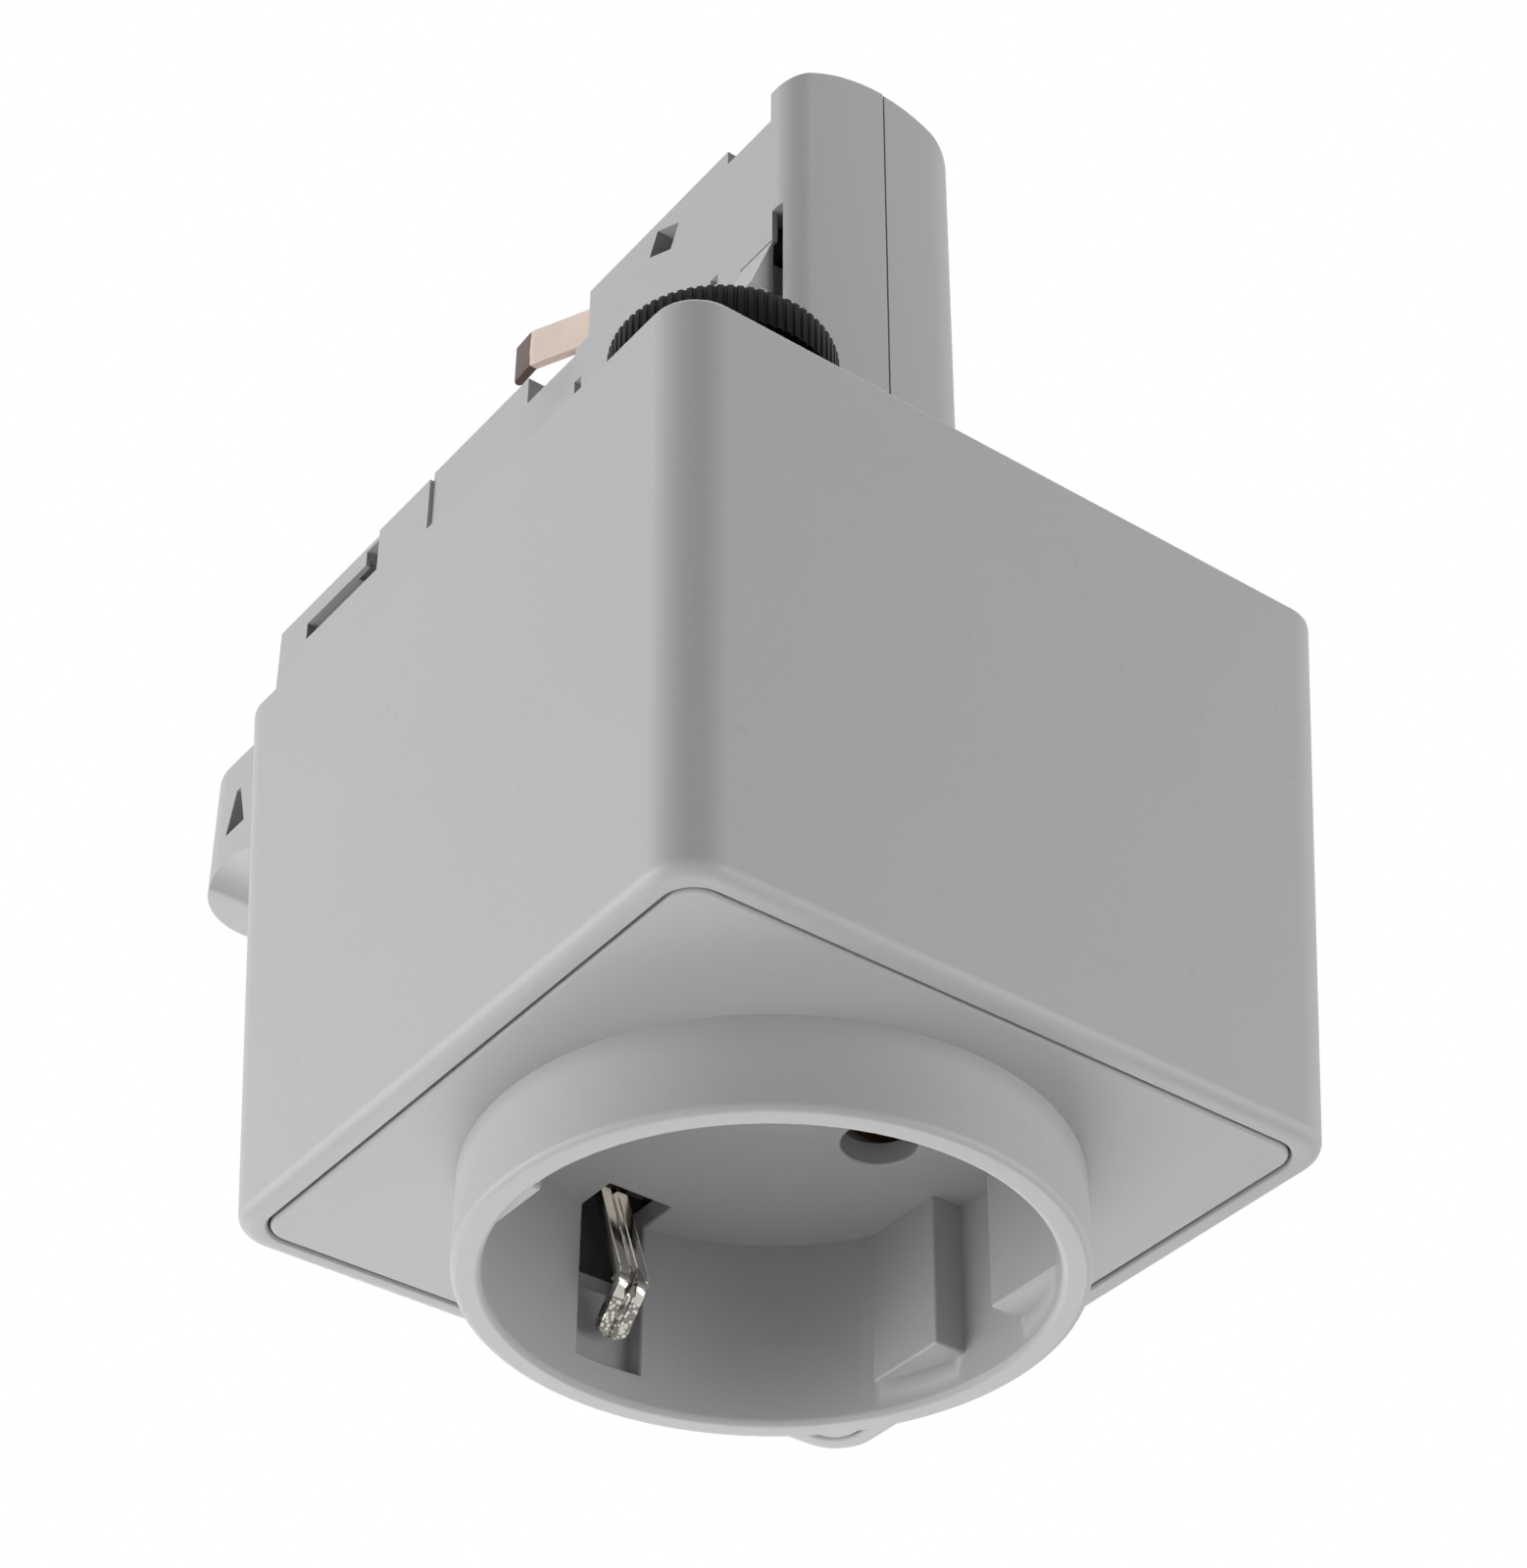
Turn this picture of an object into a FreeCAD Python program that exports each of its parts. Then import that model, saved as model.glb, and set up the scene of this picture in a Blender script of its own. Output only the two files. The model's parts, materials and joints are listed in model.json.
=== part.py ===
import FreeCAD, Part
import math
import os
import re

import Sketcher
from FreeCAD import Placement, Rotation, Vector

# Track socket adapter: a socket box that hangs from a power track by a slim bar.
# Millimetres, +Z up. The origin is on the socket's axis, in the plane of the track's lower face.
# The bar runs along X. The plug's pins lie along Y and its earth clips along X.

SIZES = {
    # Box: drafted walls, square window in its floor
    "foot_height": 19.5,
    "box_height": 46.1,
    "box_low": 55.0,
    "box_high": 59.2,
    "box_corner": 3.6,
    "edge_round": 0.9,
    "cavity_width": 52.9,
    "cavity_corner": 3.2,
    "frame_thick": 2.5,
    "window_width": 51.4,
    "window_corner": 2.4,
    "boss_reach": 23.2,
    "boss_side": 23.2,
    "boss_radius": 3.6,
    "boss_length": 16.0,
    # Lid and its screws
    "lid_thick": 2.5,
    "lid_gap": 0.25,
    "screw_core": 1.1,
    "screw_shank": 1.05,
    "screw_hole": 1.7,
    "screw_head": 2.8,
    "head_height": 1.8,
    "screw_length": 12.0,
    # Plate with collar and recess
    "plate_width": 50.9,
    "plate_corner": 2.0,
    "flange_width": 52.4,
    "flange_thick": 2.0,
    "collar_radius": 21.6,
    "collar_height": 7.15,
    "recess_radius": 19.5,
    "recess_depth": 14.8,
    "floor_thick": 2.0,
    "pin_pitch": 19.0,
    "pin_hole": 2.75,
    "rib_flat": 16.7,
    "rib_gap": 6.0,
    "rib_reach": 10.4,
    "rib_root": 20.4,
    "mouth_depth": 2.7,
    "clip_slot": 5.4,
    "clip_slot_inner": 15.85,
    "clip_pocket": 20.9,
    "clip_slot_outer": 22.6,
    "clip_shelf": 9.3,
    "post_reach": 22.8,
    "post_radius": 2.5,
    "plate_boss": 11.0,
    "plate_boss_radius": 3.0,
    "plate_boss_height": 6.0,
    # Contact block, pin contacts and earth parts
    "block_length": 29.0,
    "block_width": 30.0,
    "block_height": 18.3,
    "block_roof": 1.3,
    "fit_gap": 0.3,
    "contact_gap": 5.6,
    "strip_thick": 0.7,
    "contact_half": 3.0,
    "contact_low": 1.0,
    "contact_high": 12.8,
    "tab_half": 2.2,
    "tab_height": 23.8,
    "strap_length": 38.6,
    "strap_width": 5.0,
    "strap_thick": 0.8,
    "strap_tab": 14.0,
    "clip_thick": 0.9,
    "clip_width": 2.5,
    "clip_root_x": 20.2,
    "clip_root_rise": 3.4,
    "clip_bend_x": 16.6,
    "clip_bend_depth": 8.2,
    "clip_tip_x": 19.5,
    "clip_tip_depth": 4.9,
    "clip_bend_radius": 1.6,
    # Fuse holder beside the bar
    "fuse_x": 20.55,
    "fuse_y": 19.85,
    "fuse_flange": 7.9,
    "fuse_flange_thick": 1.2,
    "fuse_body": 4.5,
    "fuse_body_length": 28.0,
    "fuse_bore": 3.2,
    "fuse_floor": 2.0,
    "fuse_nut_radius": 5.9,
    "fuse_nut_height": 3.0,
    "cap_radius": 8.25,
    "cap_gap": 0.3,
    "cap_height": 3.2,
    "cap_stem": 3.12,
    "cap_stem_length": 4.5,
    "knurl_radius": 0.16,
    "knurl_count": 72,
    "coin_slot": 1.4,
    "coin_slot_length": 9.0,
    "fuse_radius": 2.5,
    "fuse_end_radius": 2.6,
    "fuse_length": 20.0,
    "fuse_end_length": 5.0,
    "tag_thick": 0.8,
    "tag_width": 3.0,
    "tag_length": 4.2,
    # Nipple that joins bar and box
    "nipple_radius": 5.0,
    "nipple_bore": 3.5,
    "nipple_top": 4.0,
    "nipple_length": 24.0,
    "nipple_collar": 7.0,
    "nipple_collar_thick": 2.5,
    "nut_radius": 8.0,
    "nut_height": 3.5,
    "washer_radius": 9.0,
    "washer_thick": 1.0,
    "seat_gap": 0.05,
    "lead_radius": 0.95,
    # Bar: two half shells
    "bar_half": 9.0,
    "bar_height": 28.0,
    "crest_near": 5.6,
    "crest_far": 14.2,
    "shoulder_height": 26.5,
    "far_height": 25.6,
    "mid_height": 24.6,
    "end_height": 23.9,
    "near_end": 14.8,
    "far_end": 64.4,
    "end_bow": 64.0,
    "front_round": 2.2,
    "back_round": 4.6,
    "head_start": 11.45,
    "head_top": 32.7,
    "head_crown": 15.0,
    "foot_start": 14.0,
    "seat_half": 11.0,
    "seat_start": 16.5,
    "seat_thick": 2.0,
    "shell_wall": 1.6,
    "thin_wall": 0.5,
    "parting": 0.16,
    "ledge_level": 18.7,
    "ledge_depth": 0.4,
    "ledge_near": 16.1,
    "ledge_far": 39.0,
    "window_x": 3.3,
    "window_z": 25.1,
    "window_wide": 3.4,
    "window_tall": 2.5,
    "window_tilt": 26.0,
    "mark_depth": 0.8,
    "dot_start": 3.45,
    "dot_low": 13.75,
    "dot_width": 1.0,
    "step_start": 16.0,
    "step_low": 17.3,
    "hook_near": 47.4,
    "hook_far": 59.5,
    "hook_wide": 2.0,
    "hook_low": 19.9,
    "hook_mid": 21.8,
    "guide_first": 42.0,
    "guide_second": 24.0,
    "guide_thick": 1.2,
    "guide_inner": 2.2,
    "guide_length": 4.0,
    "shell_boss": 2.2,
    "shell_core": 1.05,
    "shell_shank": 0.98,
    "shell_hole": 1.35,
    "shell_head": 2.15,
    "shell_head_hole": 2.3,
    "shell_head_depth": 1.4,
    "shell_screw_tip": 5.8,
    # Release lever and lock
    "pivot_x": 53.0,
    "pivot_z": 4.9,
    "pivot_radius": 1.5,
    "pivot_half": 8.3,
    "pivot_bore": 1.56,
    "hub_radius": 3.0,
    "arm_half": 6.5,
    "arm_low": 2.2,
    "arm_high": 9.4,
    "grip_start": 65.5,
    "grip_end": 78.4,
    "grip_round": 6.5,
    "grip_low": 0.3,
    "grip_high": 12.8,
    "grip_window_low": 4.4,
    "grip_window_high": 8.9,
    "grip_window_near": 68.0,
    "grip_window_far": 71.2,
    "grip_window_peak": 69.6,
    "grip_web": 1.5,
    "scoop_radius": 8.0,
    "scoop_x": 70.6,
    "scoop_depth": 0.9,
    "finger_half": 1.4,
    "finger_width": 5.0,
    "finger_top": 18.3,
    "slider_low": 12.9,
    "slider_thick": 2.0,
    "slider_half": 3.5,
    "slider_far": 56.5,
    "slider_near": 11.8,
    "slider_head": 0.6,
    "slider_head_half": 6.0,
    "slider_window": 1.9,
    "slider_travel": 1.8,
    "wing_travel": 2.2,
    "wing_near": 11.7,
    "wing_far": 7.65,
    "wing_trunk": 9.7,
    "wing_low": 6.7,
    "wing_high": 12.5,
    "wing_shift": 5.0,
    "wing_inner": 3.0,
    "wing_reach": 11.0,
    "wing_gap": 0.1,
    "slit_near": 12.95,
    "slit_low": 5.2,
    "slit_high": 15.8,
    "wing_pin_x": 8.5,
    "wing_pin_y": 4.6,
    "wing_pin": 0.8,
    "wing_slot": 1.0,
    # Track contacts
    "blade_thick": 0.8,
    "blade_low": 22.9,
    "blade_high": 27.0,
    "blade_root_x": 10.6,
    "blade_root_y": 6.3,
    "blade_elbow_x": 13.0,
    "blade_elbow_y": 7.0,
    "blade_crest_x": 20.3,
    "blade_crest_y": 10.5,
    "blade_tip_x": 22.6,
    "blade_tip_y": 10.4,
    "blade_bend": 1.2,
    "blade_slot_near": 14.2,
    "blade_slot_far": 24.0,
    "earth_offset": 17.6,
    "earth_low": 2.2,
    "earth_high": 5.2,
    "carrier_near": 5.6,
    "carrier_far": 9.8,
    "carrier_half": 5.0,
    "carrier_low": 19.0,
    # Lever spring
    "spring_thick": 0.5,
    "spring_low": 15.5,
    "spring_high": 17.9,
    "spring_foot_x": 61.3,
    "spring_foot_y": 4.0,
    "spring_crest_x": 53.2,
    "spring_bend": 1.5,
}

doc = FreeCAD.newDocument("track_socket_adapter")
sheet = doc.addObject("Spreadsheet::Sheet", "dims")
for row, (alias, size) in enumerate(SIZES.items(), 1):
    sheet.set(f"A{row}", alias)
    sheet.set(f"B{row}", str(size))
    sheet.setAlias(f"B{row}", alias)
doc.recompute()

# Levels that follow from the sizes
BOX_TOP = "-foot_height"
BOX_BOTTOM = "-(foot_height + box_height)"
LID_UNDER = f"{BOX_TOP} - lid_thick"
PLATE_BACK = f"{BOX_BOTTOM} + frame_thick"
FLANGE_BACK = f"{PLATE_BACK} + flange_thick"
RIM = f"{BOX_BOTTOM} - collar_height"
FLOOR = f"{RIM} + recess_depth"
FLOOR_BACK = f"{FLOOR} + floor_thick"
BLOCK_TOP = f"{FLOOR_BACK} + block_height"
CAP_LOW = f"{BOX_TOP} + fuse_flange_thick + cap_gap"
WALL_INSIDE = "bar_half - shell_wall"
SLIDER_TOP = "slider_low + slider_thick"
FUSE_AT = ("fuse_x", "-fuse_y")

LID_SCREWS = (
    ("-boss_reach", "-boss_reach"),
    ("-boss_reach", "boss_reach"),
    ("boss_reach", "boss_reach"),
    ("boss_side", "0"),
)
BLOCK_SCREWS = (("plate_boss", "plate_boss"), ("-plate_boss", "-plate_boss"))
SHELL_SCREWS = ((-61.0, 20.6), (-28.0, 21.0), (4.2, 20.5), (-9.8, -13.5), (9.8, -13.5))
AXIS_TURN = {
    "x": Rotation(Vector(0, 1, 0), 90),
    "y": Rotation(Vector(1, 0, 0), -90),
    "z": Rotation(),
}
# Degrees between the flats of the box's round lower edge
ROUND_STEP = 30
parts = []


def cells(expression):
    """The expression with each size written as a cell of the sheet."""
    return re.sub(r"\b([a-z]\w*)\b(?!\()", r"dims.\1", expression)


def bind(thing, prop, expression):
    thing.setExpression(prop, cells(expression))


def value(expression):
    """The number that an expression gives."""
    return float(sheet.evalExpression(cells(expression)))


def both(expression):
    """Limits that lie the same distance either side of zero."""
    return f"-({expression})", expression


def box(x, y, z):
    """A block between pairs of limits."""
    solid = doc.addObject("Part::Box", "block")
    for side, letter, (low, high) in zip(("Length", "Width", "Height"), "xyz", (x, y, z)):
        bind(solid, side, f"({high}) - ({low})")
        bind(solid, f"Placement.Base.{letter}", low)
    return solid


def rod(axis, radius, span, at):
    """A round rod along an axis, at two coordinates across it."""
    solid = doc.addObject("Part::Cylinder", "rod")
    solid.Placement = Placement(Vector(), AXIS_TURN[axis])
    bind(solid, "Radius", radius)
    bind(solid, "Height", f"({span[1]}) - ({span[0]})")
    bind(solid, f"Placement.Base.{axis}", span[0])
    for letter, place in zip("xyz".replace(axis, ""), at):
        bind(solid, f"Placement.Base.{letter}", str(place))
    return solid


def hexagon(radius, span, at):
    """A six-sided prism along Z, with a flat side towards +X."""
    solid = doc.addObject("Part::Prism", "hexagon")
    solid.Placement = Placement(Vector(), Rotation(Vector(0, 0, 1), 30))
    bind(solid, "Circumradius", radius)
    bind(solid, "Height", f"({span[1]}) - ({span[0]})")
    for letter, place in zip("xyz", (*at, span[0])):
        bind(solid, f"Placement.Base.{letter}", place)
    return solid


def wedge(turn, low, high, along, span):
    """A block whose width changes from one pair of limits to another along its height."""
    solid = doc.addObject("Part::Wedge", "wedge")
    solid.Placement = Placement(Vector(), turn)
    limits = {"Xmin": low[0], "Xmax": low[1], "X2min": high[0], "X2max": high[1]}
    limits |= {"Ymin": along[0], "Ymax": along[1]}
    limits |= {"Zmin": span[0], "Zmax": span[1], "Z2min": span[0], "Z2max": span[1]}
    for prop, limit in limits.items():
        bind(solid, prop, limit)
    return solid


def fuse(*solids):
    joined = doc.addObject("Part::MultiFuse", "joined")
    joined.Shapes = list(solids)
    joined.Refine = True
    return joined


def cut(base, *tools):
    left = doc.addObject("Part::Cut", "cut")
    left.Base = base
    left.Tool = tools[0] if len(tools) == 1 else fuse(*tools)
    left.Refine = True
    return left


def overlap(first, second):
    shared = doc.addObject("Part::Common", "shared")
    shared.Base = first
    shared.Tool = second
    return shared


def mirrored(source, normal):
    """The mirror image in a plane through the origin."""
    image = doc.addObject("Part::Mirroring", "image")
    image.Source = source
    image.Normal = normal
    return image


def group(*solids):
    """Separate like solids that share a node."""
    bundle = doc.addObject("Part::Compound", "bundle")
    bundle.Links = list(solids)
    return bundle


def keep(label, solid):
    """Names a finished sub-part."""
    solid.Label = label
    parts.append(solid)
    return solid


def rounded_block(x, y, z, corner):
    """A block with round upright edges."""
    (left, right), (front, back) = x, y
    inner_x = (f"({left}) + {corner}", f"({right}) - ({corner})")
    inner_y = (f"({front}) + {corner}", f"({back}) - ({corner})")
    posts = [rod("z", corner, z, (px, py)) for px in inner_x for py in inner_y]
    return fuse(box(inner_x, y, z), box(x, inner_y, z), *posts)


def vector(point):
    """A point given by three expressions or numbers."""
    return Vector(*(value(str(part)) for part in point))


def bent_wire(points, radius=None):
    """Straight runs through the points, joined by tangent arcs."""
    edges = []
    start = points[0]
    for before, corner, after in zip(points, points[1:], points[2:]):
        back = (before - corner).normalize()
        ahead = (after - corner).normalize()
        half_turn = (math.pi - back.getAngle(ahead)) / 2
        shorter = min((before - corner).Length, (after - corner).Length)
        reach = radius * math.tan(half_turn) if radius else 0.45 * shorter
        bend = reach / math.tan(half_turn)
        middle = (back + ahead).normalize()
        enter = corner + back * reach
        leave = corner + ahead * reach
        crown = corner + middle * (bend / math.cos(half_turn) - bend)
        edges.append(Part.LineSegment(start, enter).toShape())
        edges.append(Part.Arc(enter, crown, leave).toShape())
        start = leave
    edges.append(Part.LineSegment(start, points[-1]).toShape())
    return Part.Wire(edges)


def shaped(shape):
    """An object that holds a shape made here from sizes of the sheet."""
    thing = doc.addObject("Part::Feature", "shaped")
    thing.Shape = shape
    return thing


def bent_strip(points, thick, bend, rise):
    """A flat strip that follows a bent line in a plane and is as wide as rise."""
    path = bent_wire([vector(point) for point in points], value(bend))
    outline = path.makeOffset2D(value(thick) / 2)
    return shaped(Part.Face(outline).extrude(vector(rise)))


def lead(label, *points):
    """An insulated wire whose bends are as large as its runs allow."""
    path = bent_wire([vector(point) for point in points])
    start = path.Edges[0]
    ahead = start.tangentAt(start.FirstParameter)
    radius = value("lead_radius")
    ring = Part.Wire(Part.makeCircle(radius, start.Vertexes[0].Point, ahead))
    tube = path.makePipeShell([ring], True, False)
    section = math.pi * radius**2
    if abs(tube.Volume - section * path.Length) > 0.02 * tube.Volume:
        raise RuntimeError(f"{label}: the tube's volume doesn't match its length")
    return keep(label, shaped(tube))


def origin_plane(body):
    return next(item for item in body.Origin.OriginFeatures if item.Role == "XY_Plane")


def level_sketch(body, name, level):
    """An empty sketch on a level plane of a body."""
    sketch = body.newObject("Sketcher::SketchObject", name)
    sketch.AttachmentSupport = [(origin_plane(body), "")]
    sketch.MapMode = "FlatFace"
    bind(sketch, "AttachmentOffset.Base.z", level)
    return sketch


def draw_square(sketch, width, corner):
    """A square about the origin with round corners."""
    half = value(width) / 2
    radius = value(corner)
    inner = half - radius
    for turn in range(4):
        spin = Rotation(Vector(0, 0, 1), 90 * turn)
        first = spin.multVec(Vector(-inner, -half, 0))
        last = spin.multVec(Vector(inner, -half, 0))
        centre = spin.multVec(Vector(inner, -inner, 0))
        begin = (turn - 1) * math.pi / 2
        circle = Part.Circle(centre, Vector(0, 0, 1), radius)
        sketch.addGeometry(Part.LineSegment(first, last))
        sketch.addGeometry(Part.ArcOfCircle(circle, begin, begin + math.pi / 2))
    for side in range(8):
        sketch.addConstraint(Sketcher.Constraint("Tangent", side, 2, (side + 1) % 8, 1))
    for side, direction in ((0, "Horizontal"), (2, "Vertical"), (4, "Horizontal"), (6, "Vertical")):
        sketch.addConstraint(Sketcher.Constraint(direction, side))
    for arc in (3, 5, 7):
        sketch.addConstraint(Sketcher.Constraint("Equal", 1, arc))
    sketch.addConstraint(Sketcher.Constraint("Symmetric", 1, 3, 5, 3, -1, 1))
    named = (
        ("across", width, Sketcher.Constraint("DistanceX", 6, 1, 2, 1, 2 * half)),
        ("deep", width, Sketcher.Constraint("DistanceY", 0, 1, 4, 1, 2 * half)),
        ("corner", corner, Sketcher.Constraint("Radius", 1, radius)),
    )
    for name, expression, constraint in named:
        index = sketch.addConstraint(constraint)
        sketch.renameConstraint(index, name)
        bind(sketch, f"Constraints.{name}", expression)


def draw_circle(sketch, radius, offset="0"):
    """A circle on the X axis of a sketch."""
    centre = Vector(value(offset), 0, 0)
    sketch.addGeometry(Part.Circle(centre, Vector(0, 0, 1), value(radius)))
    sketch.addConstraint(Sketcher.Constraint("PointOnObject", 0, 3, -1))
    named = [("size", radius, Sketcher.Constraint("Radius", 0, value(radius)))]
    if offset == "0":
        sketch.addConstraint(Sketcher.Constraint("PointOnObject", 0, 3, -2))
    else:
        named.append(("offset", offset, Sketcher.Constraint("DistanceX", -1, 1, 0, 3, centre.x)))
    for name, expression, constraint in named:
        index = sketch.addConstraint(constraint)
        sketch.renameConstraint(index, name)
        bind(sketch, f"Constraints.{name}", expression)


def feature(body, kind, name, sketch, length):
    """A pad or a pocket of a sketch."""
    made = body.newObject(f"PartDesign::{kind}", name)
    made.Profile = sketch
    bind(made, "Length", length)
    return made


def housing_shell():
    """A deep cup with drafted walls, a round lower edge, a square window and four screw bosses."""
    body = doc.addObject("PartDesign::Body", "shell_blank")
    outlines = []
    for turn in range(0, 91, ROUND_STEP):
        inward = f"edge_round * (1 - sin({turn}))"
        level = f"{BOX_BOTTOM} + edge_round * (1 - cos({turn}))"
        outlines.append(level_sketch(body, f"shell_outline_{turn}", level))
        draw_square(outlines[-1], f"box_low - 2 * {inward}", f"box_corner - {inward}")
    outlines.append(level_sketch(body, "shell_upper_outline", BOX_TOP))
    draw_square(outlines[-1], "box_high", "box_corner")
    doc.recompute()
    walls = body.newObject("PartDesign::AdditiveLoft", "shell_walls")
    walls.Profile = outlines[0]
    walls.Sections = outlines[1:]
    walls.Ruled = True
    hollow = level_sketch(body, "shell_hollow", BOX_TOP)
    draw_square(hollow, "cavity_width", "cavity_corner")
    feature(body, "Pocket", "shell_cavity", hollow, "box_height - frame_thick")
    opening = level_sketch(body, "shell_opening", PLATE_BACK)
    draw_square(opening, "window_width", "window_corner")
    feature(body, "Pocket", "shell_window", opening, "frame_thick + 1")
    boss_span = (f"{LID_UNDER} - boss_length", LID_UNDER)
    core_span = (f"{LID_UNDER} - screw_length", f"{LID_UNDER} + 1")
    bosses = [rod("z", "boss_radius", boss_span, at) for at in LID_SCREWS]
    cores = [rod("z", "screw_core", core_span, at) for at in LID_SCREWS]
    keep("housing_shell", cut(fuse(body, *bosses), *cores))


def top_lid():
    """The plate that closes the box and carries the bar."""
    half = both("cavity_width / 2 - lid_gap")
    blank = rounded_block(half, half, (LID_UNDER, BOX_TOP), "(cavity_corner - lid_gap)")
    span = (f"{LID_UNDER} - 1", f"{BOX_TOP} + 1")
    holes = [rod("z", "screw_hole", span, at) for at in LID_SCREWS]
    holes.append(rod("z", "nipple_radius + 0.2", span, ("0", "0")))
    holes.append(rod("z", "fuse_body + 0.1", span, FUSE_AT))
    keep("top_lid", cut(blank, *holes))


def screw(at, under_head, length):
    """A pan head screw along Z, its tip down."""
    shank = rod("z", "screw_shank", (f"{under_head} - ({length})", under_head), at)
    head = rod("z", "screw_head", (under_head, f"{under_head} + head_height"), at)
    slot = box(
        (f"({at[0]}) - screw_head", f"({at[0]}) + screw_head"),
        (f"({at[1]}) - 0.35", f"({at[1]}) + 0.35"),
        (f"{under_head} + head_height / 2", f"{under_head} + head_height + 1"),
    )
    return cut(fuse(shank, head), slot)


def socket_plate():
    """The square plate with its collar, plug recess, guide ribs and clip slots."""
    half = both("plate_width / 2")
    wide = both("flange_width / 2")
    panel = rounded_block(half, half, (BOX_BOTTOM, PLATE_BACK), "plate_corner")
    flange = rounded_block(wide, wide, (PLATE_BACK, FLANGE_BACK), "(cavity_corner - lid_gap)")
    collar = rod("z", "collar_radius", (RIM, FLOOR_BACK), ("0", "0"))
    post_span = (FLANGE_BACK, LID_UNDER)
    posts = [rod("z", "post_radius", post_span, ("0", y)) for y in both("post_reach")]
    boss_span = (FLOOR_BACK, f"{FLOOR_BACK} + plate_boss_height")
    bosses = [rod("z", "plate_boss_radius", boss_span, at) for at in BLOCK_SCREWS]
    recess = rod("z", "recess_radius", (f"{RIM} - 1", FLOOR), ("0", "0"))
    cup = cut(fuse(panel, flange, collar, *posts, *bosses), recess)
    rib_span = (f"{RIM} + mouth_depth", FLOOR)
    ribs = [
        box(x, y, rib_span)
        for x in (("-rib_reach", "-rib_gap / 2"), ("rib_gap / 2", "rib_reach"))
        for y in (("-rib_root", "-rib_flat"), ("rib_flat", "rib_root"))
    ]
    round_ribs = overlap(fuse(*ribs), rod("z", "rib_root", rib_span, ("0", "0")))
    pins = [
        rod("z", "pin_hole", (f"{FLOOR} - 1", f"{FLOOR_BACK} + 1"), ("0", y))
        for y in both("pin_pitch / 2")
    ]
    side = both("clip_slot / 2")
    shelf = f"{RIM} + clip_shelf"
    deep = box(("clip_slot_inner", "clip_slot_outer"), side, (shelf, f"{FLOOR_BACK} + 0.5"))
    shallow = box(("clip_slot_inner", "clip_pocket"), side, (f"{RIM} + mouth_depth", shelf))
    slot = fuse(deep, shallow)
    cores = [
        rod("z", "screw_core", (f"{FLOOR_BACK} + 0.5", f"{boss_span[1]} + 1"), at)
        for at in BLOCK_SCREWS
    ]
    tools = (*pins, slot, mirrored(slot, Vector(1, 0, 0)), *cores)
    keep("socket_plate", cut(fuse(cup, round_ribs), *tools))


def contact_block():
    """The insulating block behind the recess that holds the contacts."""
    body = box(both("block_length / 2"), both("block_width / 2"), (FLOOR_BACK, BLOCK_TOP))
    low = f"{FLOOR_BACK} - 1"
    roof = f"{BLOCK_TOP} - block_roof"
    pin_y = "pin_pitch / 2"
    bay = box(both("contact_half + 1"), (f"{pin_y} - 3.6", f"{pin_y} + 4.3"), (low, roof))
    tab_y = (f"{pin_y} + 2.7", f"{pin_y} + 4.0")
    tab_slot = box(both("tab_half + fit_gap"), tab_y, (f"{roof} - 1", f"{BLOCK_TOP} + 1"))
    bays = fuse(bay, tab_slot)
    strap_way = box(
        both("block_length / 2 + 1"),
        both("strap_width / 2 + fit_gap"),
        (low, f"{FLOOR_BACK} + strap_thick + 2 * fit_gap"),
    )
    ledge = f"{FLOOR_BACK} + plate_boss_height + 2"
    steps = (
        ("plate_boss_radius + fit_gap", low, f"{FLOOR_BACK} + plate_boss_height + 0.1"),
        ("screw_hole - 0.3", low, f"{ledge} + 1"),
        ("screw_head + 0.2", ledge, f"{BLOCK_TOP} + 1"),
    )
    wells = [rod("z", r, (start, end), at) for at in BLOCK_SCREWS for r, start, end in steps]
    keep("contact_block", cut(body, bays, mirrored(bays, Vector(0, 1, 0)), strap_way, *wells))
    keep("block_screws", group(*(screw(at, ledge, "6") for at in BLOCK_SCREWS)))


def pin_contacts():
    """Forked strips that grip the plug's pins, with a tab through the block's roof."""
    pin_y = "pin_pitch / 2"
    grip = (f"{FLOOR_BACK} + contact_low", f"{FLOOR_BACK} + contact_high")
    reach = (f"{pin_y} - contact_half", f"{pin_y} + contact_half")
    inner = "contact_gap / 2"
    blade = box((inner, f"{inner} + strip_thick"), reach, grip)
    web_y = (f"{pin_y} + contact_half", f"{pin_y} + contact_half + strip_thick")
    web = box(both(f"{inner} + strip_thick"), web_y, grip)
    tab = box(both("tab_half"), web_y, (grip[0], f"{FLOOR_BACK} + tab_height"))
    fork = fuse(blade, mirrored(blade, Vector(1, 0, 0)), web, tab)
    keep("neutral_contact", fork)
    keep("live_contact", mirrored(fork, Vector(0, 1, 0)))


def earth_parts():
    """The strap behind the recess floor and the two clips that touch the plug's sides."""
    low = f"{FLOOR_BACK} + fit_gap"
    high = f"{low} + strap_thick"
    side = both("strap_width / 2")
    end = "strap_length / 2"
    strap = box(both(end), side, (low, high))
    tab = box((f"{end} - strap_thick", end), both("tab_half"), (low, f"{low} + strap_tab"))
    keep("earth_strap", fuse(strap, tab))
    edge = "clip_width / 2"
    path = (
        ("-clip_root_x", edge, f"{FLOOR} + clip_root_rise"),
        ("-clip_bend_x", edge, f"{RIM} + clip_bend_depth"),
        ("-clip_tip_x", edge, f"{RIM} + clip_tip_depth"),
    )
    clip = bent_strip(path, "clip_thick", "clip_bend_radius", ("0", "-clip_width", "0"))
    keep("earth_clip_far", clip)
    keep("earth_clip_near", mirrored(clip, Vector(1, 0, 0)))


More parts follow.
